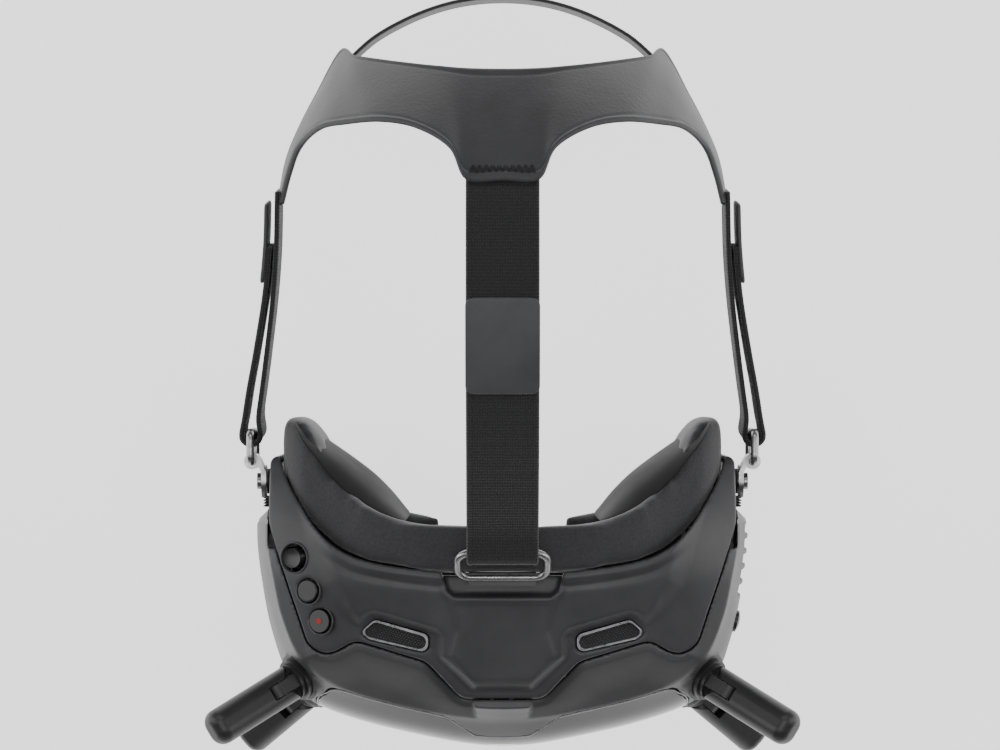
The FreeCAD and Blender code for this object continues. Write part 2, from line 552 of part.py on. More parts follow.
# ---- antennas -----------------------------------------------------------------------------------
def antenna(base, direction):
    """Swivelling foot with a tongue, and a blade that folds on a pin through it."""
    across = Z_AXIS.cross(direction)
    foot = rod(Vector(0, 0, -9), Z_AXIS, ANTENNA_BORE_R - 0.05, 9.5)
    foot = foot.fuse(rod(Vector(0, 0, 0.2), Z_AXIS, 7.9, 1.8)).fuse(rod(Vector(0, 0, 2), Z_AXIS, 6.8, 1.6))
    tongue = box(-2.4, 2.4, -TONGUE_R, TONGUE_R, 3, ANTENNA_FOLD_AT)
    tongue = tongue.fuse(rod(Vector(-2.4, 0, ANTENNA_FOLD_AT), X_AXIS, TONGUE_R, 4.8))
    tongue = tongue.cut(rod(Vector(-5, 0, ANTENNA_FOLD_AT), X_AXIS, 1.65, 10))
    foot = foot.fuse(tongue)
    w, t = ANTENNA_HALF_WIDE, ANTENNA_HALF_THICK
    tail = rod(Vector(-w, 0, ANTENNA_FOLD_AT), X_AXIS, t, 2 * w)
    section = [(-w, -t, 5.2), (w, -t, 5.2), (w, t, 5.2), (-w, t, 5.2)]
    body = plan_prism(section, ANTENNA_FOLD_AT, ANTENNA_LENGTH)
    body = body.makeFillet(4.4, [e for e in body.Edges if abs(e.CenterOfMass.z - ANTENNA_LENGTH) < 1e-6])
    blade = body.fuse(tail.common(plan_prism(section, 0, ANTENNA_LENGTH)))
    blade = blade.cut(box(-2.7, 2.7, -9, 9, 0, ANTENNA_FOLD_AT))
    blade = blade.cut(box(-2.7, 2.7, 0, 9, ANTENNA_FOLD_AT - 1, ANTENNA_FOLD_AT + TONGUE_R + 0.35))
    blade = blade.cut(rod(Vector(-2.7, 0, ANTENNA_FOLD_AT), X_AXIS, TONGUE_R + 0.35, 5.4))
    blade = blade.fuse(rod(Vector(-4, 0, ANTENNA_FOLD_AT), X_AXIS, 1.6, 8))
    return local(foot, base, direction, across), local(blade, base, direction, across)


# ---- headband -----------------------------------------------------------------------------------
def wire_ring(half_long, half_short, bend):
    """Rounded rectangle of round wire in the plane z = 0, centred on the origin."""
    corners = [(-half_long, -half_short, bend), (half_long, -half_short, bend),
               (half_long, half_short, bend), (-half_long, half_short, bend)]
    path = rounded_wire(corners, in_plan)
    section = Part.Wire([Part.makeCircle(RING_WIRE_R, Vector(0, -half_short, 0), X_AXIS)])
    ring = path.makePipeShell([section], True, False)
    return ring


def top_ring():
    """Ring on the brow: pivots on its front bar, carries the top strap's fold on its rear bar."""
    ring = wire_ring(TOP_RING_HALF - RING_WIRE_R, TOP_RING_PITCH / 2, 4.6)
    ring = ring.translated(Vector(0, TOP_RING_PITCH / 2, 0))
    ring.rotate(Vector(0, 0, 0), X_AXIS, math.degrees(TOP_RING_RISE))
    return ring.translated(Vector(0, TOP_RING_Y, TOP_RING_Z))


def ring_clip():
    """Saddle that holds the top ring's pivot bar from below, open upwards like a snap clip."""
    clip = box(-12, 12, TOP_RING_Y - 3.0, TOP_RING_Y + 1.6, RECESS_Z, TOP_RING_Z + 0.5)
    clip = clip.cut(rod(Vector(-13, TOP_RING_Y, TOP_RING_Z), X_AXIS, RING_WIRE_R + 0.05, 26))
    mouth = box(-13, 13, TOP_RING_Y - 1.2, TOP_RING_Y + 1.2, TOP_RING_Z, TOP_RING_Z + 3)
    return clip.cut(mouth)


def side_stud():
    shaft = rod(Vector(-WING_X + WALL + 1.5, STUD_Y, STUD_Z), -X_AXIS, 2.0, 8.2)
    head = rod(Vector(-88.3, STUD_Y, STUD_Z), -X_AXIS, 3.0, 1.4)
    return shaft.common(box(-89, -80, 30, 60, 50, 75)).fuse(head)


def stud_washer():
    ring = rod(Vector(-WING_X, STUD_Y, STUD_Z), -X_AXIS, 4.6, 1.6)
    return ring.cut(rod(Vector(-80, STUD_Y, STUD_Z), -X_AXIS, 2.05, 12))


def side_hook():
    """Bent plate: an eye on the stud, an offset, and a rolled eye round the side ring's front bar."""
    bar = Vector(SIDE_BAR_X, SIDE_BAR_Y - SIDE_RING_PITCH, 0)
    inner, outer = RING_WIRE_R + 0.08, RING_WIRE_R + 1.5
    half = 6.0
    foot = rod(Vector(-86.2, STUD_Y, STUD_Z), -X_AXIS, half, 1.8)
    plate = box(-88.0, -86.2, STUD_Y, 47.0, STUD_Z - half, STUD_Z + half)
    z0 = STUD_Z - half
    bend = Part.makePolygon([Vector(-88.0, 46.8, z0), Vector(-86.2, 46.8, z0), Vector(-88.4, bar.y + 1, z0),
                             Vector(-89.9, bar.y, z0), Vector(-88.0, 46.8, z0)])
    bend = Part.Face(bend).extrude(Vector(0, 0, 2 * half))
    roll = rod(Vector(bar.x, bar.y, z0), Z_AXIS, outer, 2 * half)
    hook = foot.fuse(plate).fuse(bend).fuse(roll)
    hook = hook.cut(rod(Vector(bar.x, bar.y, z0 - 1), Z_AXIS, inner, 2 * half + 2))
    return hook.cut(rod(Vector(-80, STUD_Y, STUD_Z), -X_AXIS, 2.1, 12))


def side_ring():
    """Upright ring between the hook and the side strap's fold."""
    ring = wire_ring(16.0, SIDE_RING_PITCH / 2, 2.6)
    ring.rotate(Vector(0, 0, 0), Y_AXIS, 90)
    return ring.translated(Vector(SIDE_BAR_X, SIDE_BAR_Y - SIDE_RING_PITCH / 2, STUD_Z))


def side_strap():
    """Elastic strap: inner layer from the yoke, fold round the ring's bar, outer layer back to its tab."""
    tall = Vector(0, 0, WEB_WIDTH)
    half = WEB_THICK / 2
    inner = ribbon(SIDE_INNER, half, in_plan, tall)
    outer = ribbon([p for p in SIDE_OUTER if p[1] < SIDE_TAB_FRONT_Y + 16], half, in_plan, tall)
    radius = RING_WIRE_R + FOLD_ROOM
    fold = Part.makeCylinder(radius + WEB_THICK, WEB_WIDTH, Vector(SIDE_BAR_X, SIDE_BAR_Y + 1, 0), Z_AXIS)
    fold = fold.cut(Part.makeCylinder(radius, WEB_WIDTH, Vector(SIDE_BAR_X, SIDE_BAR_Y + 1, 0), Z_AXIS))
    fold = fold.cut(box(-110, -70, SIDE_BAR_Y + 1, 90, -1, 60))
    strap = inner.fuse(outer).fuse(fold)
    tab = ribbon([(x - 1.75, y) for x, y in SIDE_OUTER[2:]], 0.9, in_plan, tall)
    tab = tab.cut(box(-110, -70, 60, SIDE_TAB_FRONT_Y, -1, 60))
    placed = []
    for piece in (strap, tab):
        piece = piece.translated(Vector(0, 0, STUD_Z - WEB_WIDTH / 2))
        piece.rotate(Vector(0, SIDE_BAR_Y, STUD_Z), X_AXIS, math.degrees(SIDE_RISE))
        bar = rod(Vector(SIDE_BAR_X, SIDE_BAR_Y, STUD_Z - 20), Z_AXIS, RING_WIRE_R + 0.12, 40)
        placed.append(piece.cut(bar))
    return placed


def yoke():
    """Moulded back-of-head piece: two arms that meet in a broad saddle with a neck for the top strap."""
    sections = []
    stations = YOKE + [((-a[0], *a[1:]), (-b[0], *b[1:])) for a, b in reversed(YOKE[:-1])]
    for i, (low, high) in enumerate(stations):
        before, after = stations[max(i - 1, 0)], stations[min(i + 1, len(stations) - 1)]
        along = Vector(*after[0]) + Vector(*after[1]) - Vector(*before[0]) - Vector(*before[1])
        low, high = Vector(*low), Vector(*high)
        outwards = along.cross(high - low).normalize() * YOKE_THICK
        if outwards.dot((low + high) / 2 - Vector(0, 120, 70)) < 0:
            outwards = outwards * -1
        sections.append(Part.makePolygon([low, high, high + outwards, low + outwards, low]))
    return Part.makeLoft(sections, True, False)


def rear_band():
    band = ribbon(mirrored(REAR_BAND), 0.6, in_plan, Vector(0, 0, 19))
    return band.translated(Vector(0, 0, 60))


def top_strap():
    """Elastic strap from under the yoke's neck to the ring, folded back and closed with a soft tab."""
    half = WEB_THICK / 2
    wide = Vector(WEB_WIDTH, 0, 0)
    lift = half + 0.1
    lower = ribbon([(19.5, 108.9)] + [(y, z - lift) for y, z in TOP_SPINE], half, in_profile, wide)
    bar = Vector(0, TOP_RING_Y + TOP_RING_PITCH * math.cos(TOP_RING_RISE),
                 TOP_RING_Z + TOP_RING_PITCH * math.sin(TOP_RING_RISE))
    radius = RING_WIRE_R + FOLD_ROOM
    upper_points = [(y, z + lift) for y, z in TOP_SPINE if y < TAB_FRONT_Y + 20]
    upper = ribbon([(18.0, 116.2)] + upper_points, half, in_profile, wide)
    upper = upper.cut(box(-1, 30, TAB_FRONT_Y, 160, 90, 180))
    fold = rod(bar, X_AXIS, radius + WEB_THICK, WEB_WIDTH).cut(rod(bar, X_AXIS, radius, WEB_WIDTH))
    pull = Vector(0, TOP_SPINE[1][0] - TOP_SPINE[0][0], TOP_SPINE[1][1] - TOP_SPINE[0][1])
    half_space = local(box(-40, 40, -40, 40, 0, 60), bar, pull, X_AXIS)
    strap = lower.cut(rod(bar, X_AXIS, radius, WEB_WIDTH)).fuse(fold.cut(half_space))
    strap = strap.fuse(upper.cut(rod(bar, X_AXIS, radius, WEB_WIDTH)))
    tab_points = [(y, z + lift + half + 0.75) for y, z in TOP_SPINE if y > 55]
    tab = ribbon([(58.0, 138.6 + lift + 1.6)] + tab_points[1:], 0.7, in_profile, wide)
    tab = tab.common(box(-1, 30, TAB_FRONT_Y, TAB_REAR_Y, 90, 180))
    centre = Vector(-WEB_WIDTH / 2, 0, 0)
    return strap.translated(centre), tab.translated(centre)


# ---- assembly -----------------------------------------------------------------------------------
def build():
    save("top_cover", largest(top_cover()))
    save("bottom_cover", largest(bottom_cover()))
    front, plate, badge, trim = front_parts()
    save("front_shell", largest(side_openings(front)))
    save("outlet_grille", *outlet_grille().Solids)
    save("housing_screws", *housing_screws())
    save("link_button", *link_button().Solids)
    for name, place in SOCKETS.items():
        save(name, socket(*place))
    save("front_plate", *plate.Solids)
    save("front_badge", *badge.Solids)
    save("badge_trim", *trim.Solids)
    save("eye_frame", largest(eye_frame()))
    save("face_foam", face_foam())
    for name, side in SIDES:
        bezel, mesh = intake(side)
        save(f"intake_bezel_{name}", *bezel.Solids)
        save(f"intake_mesh_{name}", *mesh.Solids)
        for piece, shape in eyepiece(-side).items():
            save(f"{piece}_{name}", *shape.Solids)
    frame, rotor = fan()
    save("fan_frame", *frame.Solids)
    save("fan_rotor", *rotor.Solids)
    save("heat_sink", *heat_sink().Solids)
    save("mainboard", box(-46, 46, -29.8, -28.2, 28, 72))
    save("back_button", *press_button(*BACK_BUTTON, False)[0].Solids)
    button, dot = press_button(*RECORD_BUTTON, True)
    save("record_button", *button.Solids)
    save("record_dot", dot)
    for name, shape in zip(("five_way_base", "five_way_gimbal", "five_way_stem", "five_way_cap"), five_way()):
        save(name, *shape.Solids)
    for name, (base, direction) in ANTENNAS.items():
        foot, blade = antenna(base, direction)
        save(f"antenna_foot_{name}", *foot.Solids)
        save(f"antenna_blade_{name}", *blade.Solids)
    save("ring_clip", *ring_clip().Solids)
    save("top_ring", *top_ring().Solids)
    save("side_studs", side_stud(), mirror(side_stud()))
    save("stud_washers", stud_washer(), mirror(stud_washer()))
    strap, tab = side_strap()
    for name, side in SIDES:
        save(f"side_hook_{name}", *mirror(side_hook(), side).Solids)
        save(f"side_ring_{name}", *mirror(side_ring(), side).Solids)
        save(f"side_strap_{name}", *mirror(strap, side).Solids)
        save(f"side_strap_tab_{name}", *mirror(tab, side).Solids)
    save("yoke", *yoke().Solids)
    save("rear_band", *rear_band().Solids)
    strap, tab = top_strap()
    save("top_strap", *strap.Solids)
    save("top_strap_tab", *tab.Solids)


build()
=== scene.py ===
import json
import math

import bpy
import numpy as np
from mathutils import Matrix, Vector
from mathutils.bvhtree import BVHTree


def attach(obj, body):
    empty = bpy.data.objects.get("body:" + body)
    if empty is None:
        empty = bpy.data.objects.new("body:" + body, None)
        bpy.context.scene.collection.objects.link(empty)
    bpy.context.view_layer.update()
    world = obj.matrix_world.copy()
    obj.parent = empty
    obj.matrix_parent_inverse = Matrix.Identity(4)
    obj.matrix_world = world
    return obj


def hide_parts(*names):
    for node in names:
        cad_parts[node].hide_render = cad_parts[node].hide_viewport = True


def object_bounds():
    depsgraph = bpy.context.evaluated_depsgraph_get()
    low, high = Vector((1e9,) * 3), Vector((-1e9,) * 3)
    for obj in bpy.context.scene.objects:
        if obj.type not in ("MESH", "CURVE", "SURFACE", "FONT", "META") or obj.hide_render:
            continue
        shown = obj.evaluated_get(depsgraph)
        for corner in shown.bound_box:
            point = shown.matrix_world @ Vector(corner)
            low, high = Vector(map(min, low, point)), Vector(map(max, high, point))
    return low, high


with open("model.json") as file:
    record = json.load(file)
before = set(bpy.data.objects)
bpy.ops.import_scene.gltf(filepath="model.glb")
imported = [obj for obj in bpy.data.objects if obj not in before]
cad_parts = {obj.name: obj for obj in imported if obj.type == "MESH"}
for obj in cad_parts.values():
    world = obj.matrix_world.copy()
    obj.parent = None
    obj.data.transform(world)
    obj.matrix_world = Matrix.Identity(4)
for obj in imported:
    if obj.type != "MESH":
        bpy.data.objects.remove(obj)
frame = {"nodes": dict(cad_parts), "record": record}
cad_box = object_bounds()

MM = 0.001
ORIGIN = Vector((0.0, 29.0, 55.0))   # the frame's origin, in the drawing's millimetres
HEIGHT = 100.0                       # housing, underside to brow
SIDES = (("right", 1), ("left", -1))

WEB_HALF_WIDTH, WEB_HALF_THICK = 12.7, 0.8
STUD_Z = 62.0
TOP_BAR = Vector((0.0, 19.59, 113.28))   # the top ring's rear bar
SIDE_BAR = Vector((-91.3, 61.6, 62.0))   # a side ring's rear bar
SIDE_RISE = math.radians(5.8)
FOLD_R = 3.4                             # middle line of the webbing round a ring's bar
TOP_SPINE = ((26.0, 117.2), (40.0, 126.5), (62.0, 139.0), (88.0, 148.5), (115.0, 153.0), (138.0, 151.6),
             (153.0, 147.6))
TAB_FRONT_Y, TAB_REAR_Y = 75.5, 109.0
TOP_TAB_LIFT, SIDE_TAB_LIFT = 2.3, 1.7   # how far each end tab lies off its strap's line
SIDE_INNER = ((-88.5, 68.0), (-87.2, 78.0), (-85.6, 90.0), (-83.2, 110.0), (-81.8, 128.0), (-81.2, 150.0))
SIDE_OUTER = ((-93.6, 68.0), (-92.0, 78.0), (-89.4, 92.0), (-86.1, 112.0), (-84.2, 130.0), (-83.6, 146.0))
SIDE_TAB_FRONT_Y = 116.0
REAR_BAND = ((-57.4, 193.5), (-54.6, 197.4), (-45.0, 205.6), (-30.3, 213.2), (-15.6, 217.7), (0.0, 219.2))
YOKE = (((-80.5, 144.0, 58.0), (-78.4, 144.0, 84.0)), ((-77.8, 160.0, 58.0), (-75.6, 154.5, 85.0)),
        ((-73.4, 171.5, 58.0), (-71.8, 163.5, 89.5)), ((-66.6, 185.0, 58.5), (-64.2, 169.0, 105.0)),
        ((-57.8, 200.6, 62.0), (-54.7, 170.0, 117.0)), ((-51.6, 196.4, 85.0), (-42.6, 170.0, 130.0)),
        ((-40.0, 193.2, 101.5), (-30.0, 167.2, 139.5)), ((-25.0, 190.6, 114.0), (-18.5, 160.0, 147.0)),
        ((-12.5, 189.4, 120.0), (-12.7, 149.0, 150.5)), ((0.0, 189.0, 122.0), (0.0, 148.6, 150.7)))
YOKE_THICK = 1.8
# Half of the line where a cover meets the front shell: x, y and corner radius.
SEAM = [(-84.3, 53.0, 3.0), (-84.3, 29.0, 20.0), (-67.6, -21.0, 8.0), (-52.5, -12.4, 7.0), (-27.3, -20.2, 8.0),
        (-14.6, -33.7, 6.0)]
# Half of the rim that the face foam seats on, in plan, from the temple to the middle.
RIM = [(-80.6, 53.0), (-78.1, 45.7), (-72.0, 35.0), (-65.0, 25.5), (-54.3, 18.1), (-43.6, 15.1), (-29.4, 13.0),
       (-14.0, 11.6), (0.0, 11.2)]
RIM_SHOWS = (17.0, 22.0, 58.0, 68.0)     # where the bright rim starts and fades, from the middle outwards
# The foam pad's inner face on the wearer's left, in plan, where a dark sheet of painted shade lies: its upper
# crease, and its edge at mid height.
SHADE_SHEET_CREASE = ((74.2, 65.2), (71.6, 59.5), (66.8, 53.0), (61.0, 46.0), (53.5, 38.8), (45.5, 33.6), (36.0, 30.6))
SHADE_SHEET_MIDDLE = ((75.0, 66.0), (69.0, 61.6), (61.5, 56.6), (54.0, 51.4), (46.6, 45.6), (40.0, 38.8), (34.5, 31.4))
SHADE_SHEET_MID_Z, SHADE_SHEET_RISE = 52.0, 42.0
# Half widths of the front shell at its rear end, by level.
SHELL_REAR = ((1.5, 72.0), (12.0, 80.5), (30.0, 88.0), (50.0, 90.5), (68.0, 88.5), (80.0, 86.0), (90.0, 83.6))
# Half of the brow's raised field, at positive x, with its edge along the button lane and round the intake.
FIELD = [(-10.0, -31.0, 0.1), (11.0, -31.0, 4.0), (23.6, -19.0, 4.0), (23.6, -10.4, 1.5), (46.4, -3.6, 3.0),
         (51.0, -8.2, 2.0), (58.2, -4.3, 4.0), (65.6, 6.2, 6.0), (69.9, 21.6, 8.0), (79.0, 52.0, 0.1),
         (-10.0, 52.0, 0.1)]
FIELD_RISE, POCKET_SLOPE, LANE_SLOPE = 2.6, 3.0, 8.5
# Half of the panel between the intakes, raised once more.
PANEL = [(-10.0, -29.0, 0.1), (11.5, -29.0, 3.0), (20.5, -18.5, 3.0), (17.6, -9.0, 3.0), (20.8, 6.0, 2.0),
         (22.0, 12.0, 0.1), (-10.0, 12.0, 0.1)]
PANEL_RISE, PANEL_SLOPE = 1.0, 3.0
RECESS = [(-19.0, 3.4, 4.0), (19.0, 3.4, 4.0), (23.0, 16.0, 1.0), (-23.0, 16.0, 1.0)]
# Where the antennas leave the shell, on the wearer's right.
ANTENNA_SEATS = ((-74.2, -27.6, 74.0), (-71.5, -34.5, 27.0))
ANTENNA_SEAT_R, BOSS_BLEND_R = 9.6, 19.0
# Controls on the brow: x, y, radius and gap round the cap.
CONTROLS = ((-74.6, 16.9, 3.5, 1.4), (-69.4, 5.2, 4.0, 0.4), (-65.0, -5.6, 4.0, 0.4))
CONTROL_TILT = math.radians(28)
RING_LIFT, RING_CLEARANCE, RING_WIRE_R = 0.15, 0.55, 0.38   # of the fine ring round each control
RIBS, RIB_FRONT_Y, RIB_PITCH, RIB_WIDTH = 4, 34.9, 1.0, 0.75
RIB_FOOT_X, RIB_FOOT_Z, RIB_DEPTH, RIB_HEIGHT = 84.0, 54.0, 2.9, 24.0
FOAM_SWELL = 1.6
BAND_WIDTH, BAND_RISE = 3.3, 1.5         # the flatter band that follows the seam on the front shell
FRONT_WINDOW = [(-67.5, 33.0, 8.0), (-67.5, 67.0, 8.0), (-61.0, 80.5, 7.0), (-21.0, 78.5, 5.0),
                (-10.0, 69.0, 4.0), (10.0, 69.0, 4.0), (21.0, 78.5, 5.0), (61.0, 80.5, 7.0), (67.5, 67.0, 8.0),
                (67.5, 33.0, 8.0),
                (61.0, 25.5, 7.0), (20.0, 24.5, 5.0), (9.0, 32.5, 4.0), (-9.0, 32.5, 4.0), (-20.0, 24.5, 5.0),
                (-61.0, 25.5, 7.0)]
GRILLE = [(-50.8, -9.4, 1.6), (-45.6, -4.9, 2.4), (-26.6, -10.4, 2.4), (-26.6, -16.9, 2.4), (-47.6, -12.0, 2.4)]


# ---- geometry helpers ---------------------------------------------------------------------------
def place(point):
    """A point of the drawing, in millimetres, in the frame's metres."""
    return (Vector(point) - ORIGIN) * MM


def add_mesh(name, points, faces, smooth=True):
    """A mesh object from points in the drawing's millimetres."""
    mesh = bpy.data.meshes.new(name)
    mesh.from_pydata([place(p) for p in points], [], faces)
    mesh.validate()
    mesh.polygons.foreach_set("use_smooth", [smooth] * len(mesh.polygons))
    piece = bpy.data.objects.new(name, mesh)
    bpy.context.scene.collection.objects.link(piece)
    return piece


def directions(path):
    """Unit directions along a path."""
    along = np.gradient(path, axis=0)
    return along / np.linalg.norm(along, axis=1)[:, None]


def distances(path):
    """How far along a path each of its points lies."""
    return np.concatenate(([0], np.cumsum(np.linalg.norm(np.diff(path, axis=0), axis=1))))


def curve_points(points, step):
    """Points along a Catmull-Rom curve through the given ones, evenly spaced by about step."""
    known = [np.array(p, float) for p in points]
    known = [2 * known[0] - known[1]] + known + [2 * known[-1] - known[-2]]
    dense = []
    for a, b, c, d in zip(known, known[1:], known[2:], known[3:]):
        for t in np.linspace(0, 1, 24, endpoint=False):
            dense.append(0.5 * (2 * b + (c - a) * t + (2 * a - 5 * b + 4 * c - d) * t ** 2
                                + (3 * b - a - 3 * c + d) * t ** 3))
    dense = np.array(dense + [known[-2]])
    reach = distances(dense)
    at = np.linspace(0, reach[-1], max(2, int(reach[-1] / step) + 1))
    return np.stack([np.interp(at, reach, dense[:, k]) for k in range(dense.shape[1])], axis=1)


def grid_faces(rows, columns):
    """Quads of a tube: rows of closed rings with the given number of points each, with both ends closed."""
    faces = []
    for i in range(rows - 1):
        for j in range(columns):
            k = (j + 1) % columns
            faces.append((i * columns + j, i * columns + k, (i + 1) * columns + k, (i + 1) * columns + j))
    faces.append(tuple(range(columns))[::-1])
    faces.append(tuple(range((rows - 1) * columns, rows * columns)))
    return faces


def mirror_x(piece, name):
    """A copy of a piece on the other side of the wearer's middle plane."""
    twin = piece.copy()
    twin.data = piece.data.copy()
    twin.name = name
    twin.data.transform(Matrix.Scale(-1, 4, Vector((1, 0, 0))))
    twin.data.flip_normals()
    bpy.context.scene.collection.objects.link(twin)
    return twin


def apply_modifiers(piece):
    """Turns a piece's modifiers into its mesh."""
    graph = bpy.context.evaluated_depsgraph_get()
    mesh = bpy.data.meshes.new_from_object(piece.evaluated_get(graph))
    piece.modifiers.clear()
    piece.data = mesh
    mesh.polygons.foreach_set("use_smooth", [True] * len(mesh.polygons))


def round_off(piece):
    """Subdivides a piece once, smoothly."""
    rounding = piece.modifiers.new("rounding", "SUBSURF")
    rounding.levels = rounding.render_levels = 1
    apply_modifiers(piece)


def soft_copy(node, name, voxel, rounds, factor=0.5):
    """A piece with a CAD node's shape and softly rounded edges, as a mould leaves them."""
    source = frame["nodes"][node]
    piece = bpy.data.objects.new(name, source.data.copy())
    piece.data.materials.clear()
    bpy.context.scene.collection.objects.link(piece)
    remesh = piece.modifiers.new("remesh", "REMESH")
    remesh.mode = "VOXEL"
    remesh.voxel_size = voxel * MM
    remesh.use_smooth_shade = True
    smooth = piece.modifiers.new("smooth", "SMOOTH")
    smooth.factor = factor
    smooth.iterations = rounds
    apply_modifiers(piece)
    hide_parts(node)
    return piece


def coordinates(piece):
    """A piece's points in the drawing's millimetres."""
    flat = np.empty(len(piece.data.vertices) * 3)
    piece.data.vertices.foreach_get("co", flat)
    return flat.reshape(-1, 3) / MM + np.array(ORIGIN)


def set_coordinates(piece, points):
    piece.data.vertices.foreach_set("co", ((points - np.array(ORIGIN)) * MM).ravel())
    piece.data.update()


def ramp(x, low, high):
    """Smooth step from 0 at low to 1 at high."""
    t = np.clip((x - low) / (high - low), 0, 1)
    return t * t * (3 - 2 * t)


def hump(x, middle, width):
    """Bell of height 1."""
    return np.exp(-((x - middle) / width) ** 2)


def unit(vector):
    return vector / np.linalg.norm(vector)


def rounded(corners):
    """A closed outline through corners (x, y, radius), each corner turned into an arc."""
    outline = []
    for before, here, after in zip(corners[-1:] + corners[:-1], corners, corners[1:] + corners[:1]):
        point, radius = np.array(here[:2]), here[2]
        back, on = unit(np.array(before[:2]) - point), unit(np.array(after[:2]) - point)
        half = math.acos(max(-1.0, min(1.0, back @ on))) / 2
        centre = point + unit(back + on) * radius / math.sin(half)
        start = point + back * radius / math.tan(half) - centre
        end = point + on * radius / math.tan(half) - centre
        outline += [centre + unit(start * (1 - t) + end * t) * radius for t in np.linspace(0, 1, 9)]
    return np.array(outline)


def mirrored(half):
    """A full closed outline from its half on the wearer's right."""
    return list(half) + [(-x, y, r) for x, y, r in half[::-1]]


def inside_distance(x, y, outline):
    """How far points lie inside a closed outline, negative outside it."""
    nearest = np.full(len(x), np.inf)
    inside = np.zeros(len(x), bool)
    for (ax, ay), (bx, by) in zip(outline, np.roll(outline, -1, axis=0)):
        dx, dy = bx - ax, by - ay
        along = np.clip(((x - ax) * dx + (y - ay) * dy) / (dx * dx + dy * dy + 1e-12), 0, 1)
        nearest = np.minimum(nearest, np.hypot(x - ax - dx * along, y - ay - dy * along))
        inside ^= ((ay > y) != (by > y)) & (x < ax + dx * (y - ay) / (dy + 1e-12 * (dy == 0)))
    return np.where(inside, nearest, -nearest)


def brow_z(x, y):
    """Height of the covers' outer surface before its relief."""
    return (HEIGHT - 0.2 * np.maximum(0.0, 11.0 - y) - 0.0092 * np.maximum(0.0, np.abs(x) - 45.0) ** 2
            - 0.012 * np.maximum(0.0, y - 20.0) ** 2)


# ---- materials ----------------------------------------------------------------------------------
def link(tree, a, out, b, into):
    tree.links.new(a.outputs[out], b.inputs[into])


def base_material(name, colour, rough, metallic=0.0, sheen=0.0, coat=0.0):
    material = bpy.data.materials.new(name)
    material.use_nodes = True
    shader = material.node_tree.nodes["Principled BSDF"]
    shader.inputs["Base Color"].default_value = (*colour, 1)
    shader.inputs["Roughness"].default_value = rough
    shader.inputs["Metallic"].default_value = metallic
    shader.inputs["Sheen Weight"].default_value = sheen
    shader.inputs["Sheen Roughness"].default_value = 0.5
    shader.inputs["Coat Weight"].default_value = coat
    shader.inputs["Coat Roughness"].default_value = 0.08
    return material, material.node_tree, shader


def noise_node(tree, scale, detail=3.0, source="Object"):
    coords = tree.nodes.new("ShaderNodeTexCoord")
    texture = tree.nodes.new("ShaderNodeTexNoise")
    texture.inputs["Scale"].default_value = scale
    texture.inputs["Detail"].default_value = detail
    link(tree, coords, source, texture, "Vector")
    return texture


def spread(tree, source, output, low, high, shader, socket):
    """Feeds a socket with a texture mapped to the range low..high."""
    mapping = tree.nodes.new("ShaderNodeMapRange")
    mapping.inputs["From Min"].default_value = 0.3
    mapping.inputs["From Max"].default_value = 0.7
    mapping.inputs["To Min"].default_value = low
    mapping.inputs["To Max"].default_value = high
    link(tree, source, output, mapping, "Value")
    link(tree, mapping, "Result", shader, socket)


def tint(tree, source, output, colour, low, high, shader):
    """Feeds the base colour with a texture mapped from low to high times a colour."""
    blend = tree.nodes.new("ShaderNodeValToRGB")
    blend.color_ramp.elements[0].position = 0.35
    blend.color_ramp.elements[1].position = 0.65
    blend.color_ramp.elements[0].color = (*[c * low for c in colour], 1)
    blend.color_ramp.elements[1].color = (*[c * high for c in colour], 1)
    link(tree, source, output, blend, "Fac")
    link(tree, blend, "Color", shader, "Base Color")


def bump(tree, source, output, depth, shader, before=None):
    node = tree.nodes.new("ShaderNodeBump")
    node.inputs["Strength"].default_value = 1.0
    node.inputs["Distance"].default_value = depth
    link(tree, source, output, node, "Height")
    if before is not None:
        link(tree, before, "Normal", node, "Normal")
    link(tree, node, "Normal", shader, "Normal")
    return node


def moulded(name, colour, rough, grain=2500.0, depth=0.00003, metallic=0.0, vary=0.12, coat=0.0):
    """Moulded or painted plastic: fine spark texture, slow drift of tone and of gloss."""
    material, tree, shader = base_material(name, colour, rough, metallic, coat=coat)
    slow = noise_node(tree, 35.0, 4.0)
    spread(tree, slow, "Fac", rough * 0.9, rough * 1.12, shader, "Roughness")
    tint(tree, noise_node(tree, 60.0, 5.0), "Fac", colour, 1 - vary, 1 + vary, shader)
    bump(tree, noise_node(tree, grain, 2.0), "Fac", depth, shader)
    return material


def knitted(name, colour):
    """Fine knit over foam: small cells with a soft sheen."""
    material, tree, shader = base_material(name, colour, 0.85, sheen=0.35)
    coords = tree.nodes.new("ShaderNodeTexCoord")
    cells = tree.nodes.new("ShaderNodeTexVoronoi")
    cells.inputs["Scale"].default_value = 1500.0
    link(tree, coords, "Object", cells, "Vector")
    first = bump(tree, cells, "Distance", 0.00009, shader)
    bump(tree, noise_node(tree, 160.0, 4.0), "Fac", 0.00006, shader, first)
    tint(tree, noise_node(tree, 1100.0, 4.0), "Fac", colour, 0.86, 1.14, shader)
    return material


